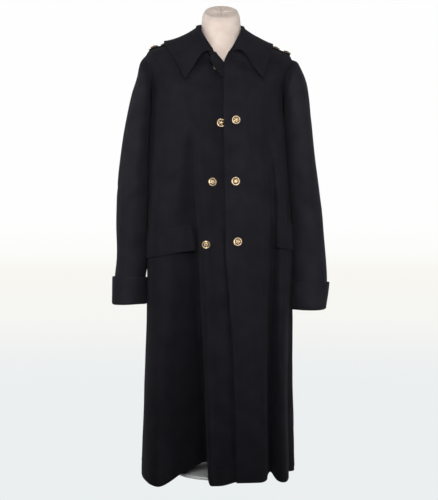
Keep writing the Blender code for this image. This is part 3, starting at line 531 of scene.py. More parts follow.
def smooth(knots, values, at):
    """Values on the smooth curve through a table's rows, held level past its ends."""
    knots, values = np.asarray(knots, float), np.asarray(values, float)
    at = np.clip(np.asarray(at, float), knots[0], knots[-1])
    deep = (...,) + (None,) * (values.ndim - 1)
    place = np.arange(len(knots))
    low, high = np.maximum(place - 1, 0), np.minimum(place + 1, len(knots) - 1)
    slope = (values[high] - values[low]) / (knots[high] - knots[low])[deep]
    i = np.clip(np.searchsorted(knots, at, "right") - 1, 0, len(knots) - 2)
    step = (knots[i + 1] - knots[i])[deep]
    s = (at - knots[i])[deep] / step
    rise = s * s * (3 - 2 * s)
    lead, trail = s * (1 - s) ** 2, s * s * (s - 1)
    return values[i] * (1 - rise) + values[i + 1] * rise + step * (lead * slope[i] + trail * slope[i + 1])


def column(rows, name):
    return np.array([getattr(row, name) for row in rows], float)


def read(rows, names, level):
    """Columns of a table, on smooth curves over its levels."""
    return [smooth(column(rows, "level"), column(rows, name), level) for name in names]


def signed_power(value, power):
    return np.sign(value) * np.abs(value) ** power


def ease(low, high, at):
    """0 below low, 1 above high, smooth between."""
    s = np.clip((at - low) / (high - low), 0, 1)
    return s * s * (3 - 2 * s)


def unit(vectors):
    return vectors / np.maximum(np.linalg.norm(vectors, axis=-1, keepdims=True), 1e-12)


def section(level):
    first = SECTIONS[0]
    return first._make(("", *read(SECTIONS, first._fields[1:], level)))


def ring(level, turn):
    """Points of the coat before its folds."""
    level, turn = np.broadcast_arrays(np.asarray(level, float), np.asarray(turn, float))
    at = section(level)
    sine, cosine = np.sin(np.radians(turn)), np.cos(np.radians(turn))
    half = np.where(sine >= 0, at.half_right, at.half_left)
    depth = np.where(cosine >= 0, at.front, at.back)
    middle_z = np.where(cosine >= 0, at.front_z, at.back_z)
    side_z = at.level - np.where(sine < 0, at.left_drop, 0)
    power = 2 / SQUARENESS
    x, y = -half * signed_power(sine, power), -depth * signed_power(cosine, power)
    return np.stack((x, y, middle_z + (side_z - middle_z) * sine * sine), -1)


def fold_rows():
    """Turns, shifts in x and y at the hem, rises and top levels of the folds, with the underlap's copies."""
    rows = np.array([fold[1:] for fold in FOLDS], float).T
    rows[1:3] -= ring(HEM, rows[0])[:, :2].T
    copies = rows[:, rows[0] >= UNDERLAP_FROM].copy()
    copies[0] -= 360
    return np.concatenate((copies, rows), 1)


FOLD_COLUMNS = fold_rows()


def ramp(share):
    """0 below 0 and the share itself above it, with a soft start."""
    soft = (share + FOLD_SOFT) ** 2 / (4 * FOLD_SOFT)
    return np.where(share > FOLD_SOFT, share, np.where(share < -FOLD_SOFT, 0, soft))


def coat(level, turn):
    """Points of the coat's outer face."""
    level, turn = np.broadcast_arrays(np.asarray(level, float), np.asarray(turn, float))
    turns, *others = FOLD_COLUMNS
    *shift, start = (smooth(turns, values, turn) for values in others)
    fallen = ramp((start - level) / (start - HEM))
    under = UNDERLAP * (1 - ease(*UNDERLAP_TURNS, turn))
    folded = ring(level, turn) + np.stack(shift, -1) * fallen[..., None]
    return folded - facing(ring, level, turn) * under[..., None]


def facing(points_at, level, turn):
    """The directions that a wrapped surface looks in."""
    along = points_at(level, turn + TURN_STEP) - points_at(level, turn - TURN_STEP)
    up = points_at(level + LEVEL_STEP, turn) - points_at(level - LEVEL_STEP, turn)
    return unit(np.cross(up, along))


def lifted(level, turn, height):
    return coat(level, turn) + facing(coat, level, turn) * np.asarray(height)[..., None]


def turn_at(level, x):
    """The turn of the front that has this x, from -90 at the wearer's left to 90 at the right."""
    at = section(level)
    half = np.where(np.asarray(x) <= 0, at.half_right, at.half_left)
    return np.degrees(np.arcsin(signed_power(-np.asarray(x) / half, SQUARENESS / 2)))


def edge_x(level, name):
    return read(EDGES, [name], level)[0]


def edge_turn(level, name):
    return turn_at(level, edge_x(level, name))


def arm_share(level):
    """0 at the armpit and the shoulder's tip, 1 where the armhole is widest."""
    s = np.clip((np.asarray(level, float) - ARMPIT) / (TIP - ARMPIT), 0, 1)
    return np.maximum(np.sin(np.pi * s), 0) ** ARM_ROUND


def divided(places, steps):
    """The places of a list, with each space between them cut into steps."""
    spaces = len(places) - 1
    return np.interp(np.linspace(0, spaces, spaces * steps + 1), np.arange(spaces + 1), places)


def looks(rows, closed):
    """The directions that the points of a grid look in."""
    along = np.roll(rows, -1, 1) - np.roll(rows, 1, 1) if closed else np.gradient(rows, axis=1)
    return unit(np.cross(np.gradient(rows, axis=0), along))


def creased(piece, rows, closed, free=1.0):
    """A grid with the creases of its piece and the cloth's own unevenness, where it is free to move."""
    out = looks(rows, closed)
    return rows + out * (heights(piece, rows, out) * free)[..., None]


def heights(piece, rows, out):
    """How far creases and unevenness move the points of a piece in the directions they look in."""
    height = np.zeros(rows.shape[:-1])
    for wave in WAVES:
        height += wave.height * np.sin(2 * np.pi * (rows @ np.array(wave[:3])) + wave.phase)
    for (owner, face), creases in CREASES.items():
        if owner == piece:
            for crease in creases:
                height += crease_height(Crease(*(MM * value for value in crease)), FACES[face], rows, out)
    return height


def crease_height(crease, face, rows, out):
    u, z = rows[..., face.u] - crease.u0, rows[..., 2] - crease.z0
    run_u, run_z = crease.u1 - crease.u0, crease.z1 - crease.z0
    length = np.hypot(run_u, run_z)
    share = np.clip((u * run_u + z * run_z) / length**2, 0, 1)
    off = (z * run_u - u * run_z) / length - crease.bow * 4 * share * (1 - share)
    width = np.where(off < 0, crease.minus, crease.plus)
    shown = np.abs(out[..., face.normal]) if face.sign == 0 else face.sign * out[..., face.normal]
    fade = ease(0, CREASE_END, share) * ease(0, CREASE_END, 1 - share) * ease(0, CREASE_SHOWN, shown)
    return crease.height * np.exp(-((off / width) ** 2)) * fade


def link(name, points, faces, finish):
    mesh = bpy.data.meshes.new(name)
    mesh.from_pydata(points.reshape(-1, 3).tolist(), [], faces)
    mesh.materials.append(finish)
    mesh.shade_smooth()
    obj = bpy.data.objects.new(name, mesh)
    bpy.context.scene.collection.objects.link(obj)
    return obj


def grid_faces(high, wide, closed=False):
    """Faces of a grid whose rows go up as its columns go round with the turn."""
    faces = []
    for i in range(high - 1):
        for j in range(wide if closed else wide - 1):
            a, b = i * wide + j, i * wide + (j + 1) % wide
            faces.append((a, a + wide, b + wide, b))
    return faces


def join(obj, slot, *nodes):
    """Makes an object part of the coat, in place of its solids."""
    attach(obj, "root")
    if nodes:
        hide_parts(*nodes)
    return obj


def cloth_piece(node, rows, finish, thickness, closed):
    """A cloth piece: its outer points, with the wall made inwards and its rim rounded."""
    obj = link(f"{node}_cloth", rows, grid_faces(*rows.shape[:2], closed), finish)
    wall = obj.modifiers.new("wall", "SOLIDIFY")
    wall.thickness = thickness
    wall.offset = -1
    rim = obj.modifiers.new("rim", "BEVEL")
    rim.width = RIM_SHARE * thickness
    rim.segments = 2
    rim.limit_method = "ANGLE"
    rim.angle_limit = np.radians(RIM_ANGLE)
    return join(obj, "wool_melton", node)


def panel_levels():
    return np.concatenate((
        np.linspace(HEM, ARMPIT, BODY_ROWS),
        np.linspace(ARMPIT, TIP, ARM_ROWS + 1)[1:],
        np.linspace(TIP, NECK, TOP_ROWS + 1)[1:],
    ))


def along_row(rows):
    """How far along its row each point of a grid lies."""
    steps = np.linalg.norm(np.diff(rows, axis=1), axis=2)
    return np.concatenate((np.zeros((len(rows), 1)), np.cumsum(steps, 1)), 1)


def off_armhole(levels, rows, seams):
    """0 at the armhole's edge, 1 away from it."""
    beside = ease(ARMPIT - ARM_CALM, ARMPIT, levels) * (1 - ease(TIP, TIP + TIP_CALM, levels))
    places = along_row(rows)
    free = np.ones(places.shape)
    for used, distance in zip(seams, (places, places[:, -1:] - places)):
        if used:
            free *= 1 - beside[:, None] * (1 - ease(0, ARM_CALM, distance))
    return free


def panel(name, low, high, seams):
    """A panel's grid between two edges, given as turns at each level, and which of them have armholes."""
    levels = panel_levels()
    first, last = low(levels), high(levels)
    turns = FOLD_COLUMNS[0]
    inside = turns[(turns > first[0]) & (turns < last[0])]
    places = divided([first[0], *inside, last[0]], PANEL_STEPS)
    share = (places - places[0]) / (places[-1] - places[0])
    rows = coat(levels[:, None], first[:, None] + (last - first)[:, None] * share)
    return creased(name, rows, False, off_armhole(levels, rows, seams))


def corner_raised(rows):
    """The left front with its top corner drawn up beside the collar's end."""
    places = along_row(rows)
    near = 1 - ease(0, CORNER_REACH, places[:, -1:] - places)
    rows[..., 2] += CORNER_RISE * near * ease(CORNER_LEVEL, NECK, panel_levels())[:, None]
    return rows


def body_panels():
    """The grids of the three panels, between the front edges and the side seams with their armholes."""
    def seam(side_turn, reach):
        return lambda level: side_turn + reach * arm_share(level)

    def front_edge(name, turn):
        return lambda level: turn + edge_turn(level, name)

    left = panel("front_left", seam(270, ARM_FRONT), front_edge("left_x", 360), (True, False))
    return {
        "front_right": panel("front_right", front_edge("right_x", 0), seam(90, -ARM_FRONT), (False, True)),
        "back": panel("back", seam(90, ARM_BACK), seam(270, -ARM_BACK), (True, True)),
        "front_left": corner_raised(left),
    }


def armhole(side_turn, roll):
    """The armhole's edge, from the armpit up the front and down the back, drawn in by a share of its size."""
    towards_front = -1 if side_turn < 180 else 1
    levels, middle = np.linspace(ARMPIT, TIP, SLEEVE_HALF + 1), (ARMPIT + TIP) / 2
    body_levels = middle + (levels - middle) * (1 - roll)
    share = arm_share(levels) * (1 - roll)
    front = coat(body_levels, side_turn + towards_front * ARM_FRONT * share)
    back = coat(body_levels, side_turn - towards_front * ARM_BACK * share)
    return np.concatenate((front[:-1], back[:0:-1]))


def sleeve_ring(row, sides):
    """A sleeve's ring from the inner edge round the front, the outer edge and the back."""
    outer, inner = np.array((row.outer_x, 0, row.outer_z)), np.array((row.inner_x, 0, row.inner_z))
    angle = 2 * np.pi * np.arange(sides) / sides - np.pi / 2
    power = 2 / SLEEVE_SQUARENESS
    across, along = signed_power(np.sin(angle), power), signed_power(np.cos(angle), power)
    points = (outer + inner) / 2 + (outer - inner) / 2 * across[:, None]
    points[:, 1] += np.where(along >= 0, row.front_y, row.back_y) * np.abs(along)
    return points


def places_along(rows):
    """How far along a line its points lie, or along a grid its rows, on the average of their points."""
    steps = np.linalg.norm(np.diff(rows, axis=0), axis=-1)
    return np.concatenate(([0], np.cumsum(steps.reshape(len(steps), -1).mean(1))))


def sleeve_rings(side_turn, girths):
    """The rings of a sleeve, from the armhole down, and how far along the sleeve each lies."""
    towards_body = 1 if side_turn < 180 else -1
    seam, roll = armhole(side_turn, 0.0), armhole(side_turn, ARM_ROLL)
    sides = len(seam)
    inner, front, outer, back = roll[::sides // 4]
    head = girths[0]._make(("armhole", *outer[::2], *inner[::2], front[1], back[1], 0))
    misfit = roll - sleeve_ring(head, sides)
    rings = [seam + unit(roll - seam) * SEAM_GAP, roll]
    for k, row in enumerate(girths, 1):
        leaning = row._replace(inner_x=row.inner_x + towards_body * row.lean)
        rings.append(sleeve_ring(leaning, sides) + misfit * max(0.0, 1 - k / HEAD_ROWS) ** 2)
    return np.array(rings), places_along(np.array(rings))


def facing_out(rings, side_turn):
    """Rings as rows that go up, with columns in the order that makes the sheet's face look outwards."""
    return rings[::-1, :: 1 if side_turn < 180 else -1]


def grown(rings, distances):
    """Rings moved out from their middles."""
    along = np.roll(rings, -1, 1) - np.roll(rings, 1, 1)
    out = unit(np.cross(along, (0, 0, 1)))
    away = rings - rings.mean(1, keepdims=True)
    out *= np.sign((out * away).sum(-1, keepdims=True))
    return rings + out * distances[:, None, None]


def body_side(grids):
    """A search tree over the coat's sides, with the points and directions it holds."""
    found = []
    for grid in grids.values():
        x, z = np.abs(grid[..., 0]), grid[..., 2]
        beside = (x > SIDE_X) & (z > SIDE_LOW) & (z < SIDE_HIGH)
        found.append((grid[beside], looks(grid, False)[beside]))
    points, directions = (np.concatenate(parts) for parts in zip(*found))
    tree = KDTree(len(points))
    for k, point in enumerate(points):
        tree.insert(point, k)
    tree.balance()
    return tree, points, directions


def pressed(rows, side):
    """A grid laid against the coat's side where it would lie in it."""
    tree, points, directions = side
    rows = rows.copy()
    for place in np.ndindex(rows.shape[:2]):
        _, k, distance = tree.find(rows[place])
        depth = LAY_GAP - (rows[place] - points[k]) @ directions[k]
        if 0 < depth and distance < SIDE_REACH:
            rows[place] += directions[k] * depth
    return rows


def sleeve_pieces(side, side_turn, girths, body):
    """The grids of a sleeve and of its turned-back cuff."""
    rings, places = sleeve_rings(side_turn, girths)
    lengths = np.concatenate((np.linspace(places[0], places[1], SEAM_ROWS)[:-1],
                              np.linspace(places[1], places[-1], SLEEVE_ROWS)))
    free = ease(0, ARM_CALM, lengths)
    sleeve = facing_out(grown(smooth(places, rings, lengths), CLOTH * free), side_turn)
    sleeve = creased(f"sleeve_{side}", sleeve, True, free[::-1, None])
    low_rows = lengths[::-1] > 2 * ARM_CALM
    sleeve[low_rows] = pressed(sleeve[low_rows], body)
    share = np.linspace(0, 1, CUFF_ROWS)
    cuff = smooth(places, rings, places[-1] - CUFF_DEPTH * (1 - share))
    low = LAY_GAP + 2 * CLOTH
    angle = np.linspace(0, np.pi / 2, CURL_ROWS + 1)[1:]
    distances = np.concatenate((low + CUFF_FLARE * (1 - share), low * np.cos(angle)))
    curl = np.repeat(cuff[-1:], CURL_ROWS, 0)
    curl[..., 2] -= (low * np.sin(angle))[:, None]
    cuff = facing_out(grown(np.concatenate((cuff, curl)), distances), side_turn)
    return sleeve, pressed(creased(f"cuff_{side}", cuff, True), body)


def collar_sections(turn):
    """The collar's upper face at some turns: up the stand, over the roll and down the fall to its edge."""
    turns = -column(COLLAR, "turn")
    at = [smooth(turns, column(COLLAR, name), -turn) for name in COLLAR[0]._fields[2:]]
    roll, edge = np.stack(at[:3], -1), np.stack(at[3:6], -1)
    bulge, curl = at[6][:, None], at[7][:, None]
    out = unit((edge - roll) * np.array((1, 1, 0)))
    along = coat(NECK, turn + TURN_STEP) - coat(NECK, turn - TURN_STEP)
    away = unit(np.stack((-along[:, 1], along[:, 0], 0 * turn), -1))
    seam = coat(NECK, turn) - away * CLOTH + np.array((0, 0, LAY_GAP))
    drop = np.array((0, 0, ROLL_DROP))
    stand_top, fall_top = roll - away * ROLL_HALF - drop, roll + out * ROLL_HALF - drop
    reach, near_top = ROLL_HALF * ROLL_ROUND, drop * (1 - ROLL_ROUND)
    points = [seam, (seam + stand_top) / 2, stand_top, roll - away * reach - near_top, roll,
              roll + out * reach - near_top]
    across = edge - fall_top
    up = (across * out).sum(-1, keepdims=True) * np.array((0, 0, 1))
    off = unit(out * -across[:, 2:] + up)
    for share in np.linspace(0, 1, FALL_ROWS):
        height = bulge * 4 * share * (1 - share) + curl * CURL_PEAK * share * (1 - share) ** 3
        points.append(fall_top + across * share + off * height)
    return np.array(points)


def along_rows(rows, count):
    """Rows spread evenly along the smooth lines through the rows given."""
    places = places_along(rows)
    return smooth(places, rows, np.linspace(0, places[-1], count))


def collar_grid():
    turns = divided(column(COLLAR, "turn"), COLLAR_STEPS)
    return creased("collar", along_rows(collar_sections(turns), COLLAR_ROWS), False)


def lapel_grid():
    """The turned-back corner, from its round fold to its free edge."""
    rows = LAPEL[::-1]
    levels = np.linspace(rows[0].level, rows[-1].level, LAPEL_ROWS)[:, None]
    width, lift, roll = read(rows, LAPEL[0]._fields[1:], levels)
    edge = edge_x(levels, "right_x")
    share = np.linspace(0, 1, LAPEL_COLUMNS)[None, :]
    height = LAY_GAP + CLOTH + lift * share**LAPEL_CURVE
    grid = lifted(levels, turn_at(levels, edge - width * share), height)
    grid[..., 2] += roll * (1 - share) ** 2 + LAPEL_RISE * ease(LAPEL_LEVEL, rows[-1].level, levels)
    grid = creased("lapel_right", grid, False)
    fold, low = grid[:, :1], lifted(levels, turn_at(levels, edge), np.full(levels.shape, -CLOTH / 2))
    bend = np.linspace(np.pi, 0, LAPEL_FOLD_COLUMNS, endpoint=False)[None, :, None]
    away = unit(fold - grid[:, 1:2]) * LAPEL_ROUND
    rounded = (fold + low) / 2 + (fold - low) / 2 * np.cos(bend) + away * np.sin(bend)
    return np.concatenate((rounded, grid), 1)


def flap_grid(flap):
    up = np.linspace(0, 1, FLAP_ROWS)[:, None]
    share = np.linspace(0, 1, FLAP_COLUMNS)[None, :]
    low = flap.inner_low + (flap.outer_low - flap.inner_low) * share
    turns = flap.inner + (flap.outer - flap.inner) * share + 0 * up
    free = np.maximum(0, 1 - share / FLAP_FREE) ** FLAP_CURL * (1 - FLAP_TOP_FREE * up)
    grid = lifted(low + flap.depth * up, turns, LAY_GAP + CLOTH + flap.lift * free)
    return creased(f"pocket_flap_{flap.side}", grid if flap.inner < flap.outer else grid[:, ::-1], False)


def strap_grid(side, side_turn):
    levels = np.linspace(*STRAP_LEVELS, STRAP_ROWS)[:, None]
    share = np.linspace(-1, 1, STRAP_COLUMNS)[None, :]
    at = section(levels)
    depth = np.where(share < 0, at.front, at.back)
    swing = np.degrees(np.arcsin((np.abs(share) * STRAP_HALF / depth) ** (SQUARENESS / 2)))
    turns = side_turn + np.sign(share) * swing * (1 if side_turn < 180 else -1)
    grid = lifted(levels, turns, LAY_GAP + CLOTH + 0 * turns)
    return creased(f"shoulder_strap_{side}", grid if side_turn < 180 else grid[:, ::-1], False)


def on_line(where, places, values):
    """Values held by a line's points, read between them."""
    return np.stack([np.interp(where, places, values[:, k]) for k in range(3)], -1)


def inset_line(rows, side, distance):
    """Points and directions of a line at a distance in from one side of a grid."""
    from_side = {
        "first": lambda grid: grid,
        "last": lambda grid: grid[:, ::-1],
        "bottom": lambda grid: grid.swapaxes(0, 1),
        "top": lambda grid: grid[::-1].swapaxes(0, 1),
    }[side]
    points, directions = [], []
    for line, face in zip(from_side(rows), from_side(looks(rows, False))):
        places = places_along(line)
        points.append(on_line(distance, places, line))
        directions.append(on_line(distance, places, face))
    return np.array(points), unit(np.array(directions))


def stitch_places(points, directions):
    """Middles, directions and facings of stitches along a line, clear of its ends."""
    places = places_along(points)
    count = int((places[-1] - 2 * EDGE_ROW) / STITCH_PITCH)
    middles = EDGE_ROW + (np.arange(count) + 0.5) * STITCH_PITCH
    start, end = (on_line(middles + half, places, points) for half in (-STITCH / 2, STITCH / 2))
    return on_line(middles, places, points), unit(end - start), unit(on_line(middles, places, directions))


def stitch_shape():
    """Offsets of one stitch's points along it, across it and up from the cloth, and its faces."""
    ends, thick, height = np.array(STITCH_RINGS).T[..., None]
    angle = np.linspace(0, 2 * np.pi, STITCH_SIDES + 1)[:-1]
    along = ends * STITCH / 2 + 0 * angle
    across, up = thick * np.cos(angle) * THREAD, (thick * np.sin(angle) + height) * THREAD
    return np.stack((along, across, up), -1).reshape(-1, 3), grid_faces(*along.shape, True)


def sewing(name, lines, finish):
    """Rows of stitches on a piece, as one object."""
    shape, shape_faces = stitch_shape()
    points, faces = [], []
    for line in lines:
        for middle, ahead, face in zip(*stitch_places(*line)):
            frame = np.stack((ahead, np.cross(face, ahead), face))
            first = len(points) * len(shape)
            faces += [tuple(first + corner for corner in corners) for corners in shape_faces]
            points.append(middle + shape @ frame)
    return join(link(f"{name}_sewing", np.array(points), faces, finish), "wool_melton")


def lathe_points(profile, sides):
    """Rings of points from a profile of radius and height, bottom to top."""
    angle = np.linspace(0, 2 * np.pi, sides, endpoint=False)
    radius, height = np.array(profile, float).T[..., None]
    return np.stack((radius * np.cos(angle), radius * np.sin(angle), height + 0 * angle), -1)


def capped(name, rows, finish, step=-1):
    """A solid from closed rings of points; step is 1 where they go round with the turn, and -1 if not."""
    high, wide = rows.shape[:2]
    faces = grid_faces(high, wide, True)
    faces += [tuple(range(wide)), tuple(range(high * wide - 1, (high - 1) * wide - 1, -1))]
    return link(name, rows, [face[::step] for face in faces], finish)


def face_rings(face, radius, height, rings):
    """A fine profile of radius and height, from a button's edge to its middle."""
    shares = np.array(face)[::-1]
    at = np.linspace(1, FACE_MIDDLE, rings)
    return np.stack((at * radius, smooth(shares[:, 0], shares[:, 1], at) * height), -1)


def shaded(obj, name, values):
    """An object with a value at each of its points, for its finish."""
    held = obj.data.attributes.new(name, "FLOAT", "POINT")
    held.data.foreach_set("value", np.ravel(values).astype(np.float32))
    return obj


def round_places(points, radius):
    """How far out the points of a round face lie, as shares of its radius, and their angles."""
    x, y = points[..., 0], points[..., 1]
    return np.hypot(x, y) / radius, np.arctan2(y, x)


def rosette(points, radius, height):
    """Raises petals and a middle boss on a button's face, and tells where they are."""
    share, angle = round_places(points, radius)
    petal = np.abs(np.cos(angle * PETALS / 2))
    inside = ease(*PETAL_FOOT, share) * (1 - ease(*PETAL_TIP, share + PETAL_ROUND * (1 - petal)))
    boss = 1 - ease(*BOSS, share)
    points[..., 2] += height * (PETAL_RISE * petal * inside + BOSS_RISE * boss)
    return np.maximum(np.maximum(petal * inside, boss), ease(*BUTTON_RIM, share))


def beaded(points, radius, height):
    """Raises a row of beads round a stud's rim, and tells where the raised places are."""
    share, angle = round_places(points, radius)
    on_rim = np.exp(-(((share - BEAD_RING) / BEAD_WIDTH) ** 2))
    beads = np.cos(angle * BEADS)
    points[..., 2] += height * BEAD_RISE * on_rim * beads
    return np.maximum(on_rim * (BEAD_TONE + (1 - BEAD_TONE) * beads), 1 - ease(*STUD_MIDDLE, share))


def fitting(name, back, face, motif, gilt, size):
    """A button or stud from the rings of its back and its face, with a raised motif on the face."""
    points = lathe_points([*back, *face], ROUND_SIDES)
    relief = np.ones(points.shape[:2])
    relief[len(back):] = motif(points[len(back):], *size)
    return shaded(capped(f"{name}_gilt", points, gilt), "relief", relief)


def stand_on_coat(obj, level, turn, height, droop=0, piece=""):
    """Puts an object on the coat's face, with the creases of a piece, and tips it down by some degrees."""
    out = facing(coat, level, turn)
    height += heights(piece, coat(level, turn), out)
    normal = Vector(out)
    up = (Vector((0, 0, 1)) - normal * normal.z).normalized()
    looks_at = normal * np.cos(np.radians(droop)) - up * np.sin(np.radians(droop))
    obj.location = Vector(coat(level, turn)) + normal * height
    obj.rotation_mode = "QUATERNION"
    obj.rotation_quaternion = Vector((0, 0, 1)).rotation_difference(looks_at)


def buttons(gilt):
    size = BUTTON_RADIUS, BUTTON_HEIGHT
    back = [(BACK_MIDDLE, 0), (SHANK_RADIUS, 0), (SHANK_RADIUS, SHANK), (BUTTON_BACK * BUTTON_RADIUS, SHANK),
            (BUTTON_EDGE * BUTTON_RADIUS, SHANK + BUTTON_EDGE_RISE * BUTTON_HEIGHT)]
    face = face_rings(BUTTON_FACE, *size, BUTTON_RINGS) + np.array((0, SHANK))
    for row in BUTTONS:
        turn = turn_at(row.level, row.x) + (360 if "left" in row.name else 0)
        obj = fitting(row.name, back, face, rosette, gilt, size)
        stand_on_coat(obj, row.level, turn, row.gap, row.droop, row.name.replace("button", "front")[:-2])
        join(obj, "gilt_brass", row.name)


def studs(gilt):
    size = STUD_RADIUS, STUD_HEIGHT
    back = [(BACK_MIDDLE, 0), (STUD_BACK * STUD_RADIUS, 0)]
    face = face_rings(STUD_FACE, *size, STUD_RINGS)
    for row in STUDS:
        obj = fitting(row.name, back, face, beaded, gilt, size)
        stand_on_coat(obj, row.level, row.turn, LAY_GAP + CLOTH + SEAM_GAP)
        join(obj, "gilt_brass", row.name)


def bust_ring(row):
    turn = 360 * np.arange(FORM_SIDES) / FORM_SIDES
    off_centre = np.minimum(turn, 360 - turn)
    inset = row.inset + row.front_inset * (1 - ease(*FRONT_TURNS, off_centre))
    points = ring(row.level, turn) - facing(ring, row.level, turn) * inset[:, None]
    points[:, 0] = np.clip(points[:, 0], -ARM_PLATE, ARM_PLATE)
    return points


def form_neck_ring(row):
    angle = 2 * np.pi * np.arange(FORM_SIDES) / FORM_SIDES
    cosine = np.cos(angle)
    depth = np.where(cosine >= 0, row.front, row.back)
    height = (row.front_z + row.back_z) / 2 + (row.front_z - row.back_z) / 2 * cosine
    return np.stack((NECK_X - row.half * np.sin(angle), -depth * cosine, height), -1)


def neck_cap(rim):
    """Rows from the neck's rim to its middle, with the jersey gathered in radial puckers."""
    share = np.linspace(0, 1, CAP_ROWS + 1)[1:, None]
    rows = rim * (1 - share[..., None]) + rim.mean(0) * share[..., None]
    angle = 2 * np.pi * np.arange(FORM_SIDES) / FORM_SIDES
    pucker = sum(part * np.sin(count * angle + phase) for count, phase, part in PUCKERS)
    dip = CAP_DIP * np.exp(-(((1 - share) / CAP_DIP_WIDTH) ** 2))
    deep = CAP_PUCKER * ease(0.05, 0.5, share) * (1 - ease(0.9, 1.0, share))
    rows[..., 2] += CAP_DOME * np.sqrt(1 - share**2) - dip + deep * pucker
    return rows


def form(jersey, lacquer):
    """The dress form: its bust and neck, its pole and its base."""
    rings = np.array([bust_ring(row) for row in BUST] + [form_neck_ring(row) for row in FORM_NECK])
    rings[0, :, 2] = BUST[0].level
    rows = along_rows(rings, FORM_ROWS)
    rows = np.concatenate((rows, neck_cap(rows[-1])))
    join(capped("form_bust_jersey", rows, jersey, 1), "jersey", "form_bust")
    low, top = BASE_HEIGHT + SEAM_GAP, BUST[0].level - SEAM_GAP
    rod = [(POLE_RADIUS - EDGE_BEVEL, low), (POLE_RADIUS, low + EDGE_BEVEL),
           (POLE_RADIUS, top - EDGE_BEVEL), (POLE_RADIUS - EDGE_BEVEL, top)]
    bend = np.linspace(0, np.pi / 2, BASE_EDGE_ROWS)
    edge = [(BASE_RADIUS - BASE_CHAMFER * (1 - np.cos(a)), BASE_HEIGHT - BASE_CHAMFER * (1 - np.sin(a)))
            for a in bend]
    plate = [(BASE_MIDDLE, 0), (BASE_RADIUS - EDGE_BEVEL, 0), (BASE_RADIUS, EDGE_BEVEL), *edge,
             (BASE_MIDDLE, BASE_HEIGHT)]
    stand = (("form_pole", rod, ROUND_SIDES, 0), ("form_base", plate, 2 * ROUND_SIDES, BASE_Y))
    for node, profile, sides, y in stand:
        obj = capped(f"{node}_lacquer", lathe_points(profile, sides), lacquer)
        obj.location.y = y
        join(obj, "white_lacquer", node)


def fill(tree, node, inputs):
    """Sets inputs of a node to values, or links them to other nodes' outputs."""
    for name, value in inputs.items():
        if isinstance(value, bpy.types.NodeSocket):
            tree.links.new(value, node.inputs[name])
        else:
            node.inputs[name].default_value = value


def add_node(tree, kind, **inputs):
    """A new node. Its inputs are named as keywords, with _ for each space."""
    node = tree.nodes.new(f"ShaderNode{kind}")
    fill(tree, node, {name.replace("_", " "): value for name, value in inputs.items()})
    return node


def new_material(name):
    made = bpy.data.materials.new(name)
    made.use_nodes = True
    return made, made.node_tree, made.node_tree.nodes["Principled BSDF"]


def noise(tree, scale, detail, stretch=(1, 1, 1)):
    """A noise over the object's own coordinates."""
    place = add_node(tree, "TexCoord").outputs["Object"]
    mapped = add_node(tree, "Mapping", Vector=place, Scale=stretch).outputs["Vector"]
    return add_node(tree, "TexNoise", Vector=mapped, Scale=scale, Detail=detail).outputs["Fac"]


def ramped(tree, factor, stops):
    """Colours between stops of position and colour."""
    node = add_node(tree, "ValToRGB", Fac=factor)
    elements = node.color_ramp.elements
    while len(elements) < len(stops):
        elements.new(0.5)
    for element, (position, colour) in zip(elements, stops):
        element.position = position
        element.color = (*colour, 1)
    return node.outputs["Color"]


def mottled(tree, factor, dark, light):
    """Colours from dark to light as a noise goes over its middle part."""
    return ramped(tree, factor, [(NOISE_LOW, dark), (NOISE_HIGH, light)])


def ranged(tree, factor, low, high):
    """Values from low to high as a noise goes over its middle part."""
    return add_node(tree, "MapRange", Value=factor, From_Min=NOISE_LOW, From_Max=NOISE_HIGH,
                    To_Min=low, To_Max=high).outputs["Result"]


def multiplied(tree, first, second):
    node = tree.nodes.new("ShaderNodeMix")
    node.data_type = "RGBA"
    node.blend_type = "MULTIPLY"
    sockets = {socket.identifier: socket for socket in (*node.inputs, *node.outputs)}
    sockets["Factor_Float"].default_value = 1
    tree.links.new(first, sockets["A_Color"])
    tree.links.new(second, sockets["B_Color"])
    return sockets["Result_Color"]


def attribute(tree, name):
    """A value held by the object's points."""
    node = tree.nodes.new("ShaderNodeAttribute")
    node.attribute_name = name
    return node.outputs["Fac"]


def dressed(tree, shader, colour, roughness, layers=()):
    """Gives a shader its colour and roughness, and small relief from layers of height, strength and depth."""
    normal = {}
    for height, strength, depth in layers:
        bump = add_node(tree, "Bump", Height=height, Strength=strength, Distance=depth, **normal)
        normal = {"Normal": bump.outputs["Normal"]}
    fill(tree, shader, {"Base Color": colour, "Roughness": roughness, **normal})


def wool(name, tone):
    made, tree, shader = new_material(name)
    fibre, felt, mottle = noise(tree, 1400, 3), noise(tree, 420, 2), noise(tree, 22, 3)
    # tone scales the wool's colours; above 1 it is painted light on the sleeves and cuffs
    dark, light = (tuple(tone * share for share in colour) for colour in (WOOL_DARK, WOOL_LIGHT))
    flecks = ramped(tree, fibre, [(0.45, FLECK_DARK), (0.72, FLECK_LIGHT)])
    colour = multiplied(tree, mottled(tree, mottle, dark, light), flecks)
    layers = [(felt, 0.35, 0.0012), (fibre, 0.45, 0.0006)]
    dressed(tree, shader, colour, ranged(tree, felt, 0.86, 0.98), layers)
    fill(tree, shader, WOOL_NAP)
    return made


def thread():
    made, tree, shader = new_material("sewing_thread_look")
    tone = noise(tree, 600, 2)
    dressed(tree, shader, mottled(tree, tone, THREAD_DARK, THREAD_LIGHT), ranged(tree, tone, 0.75, 0.9))
    fill(tree, shader, {"Specular IOR Level": 0.12})
    return made


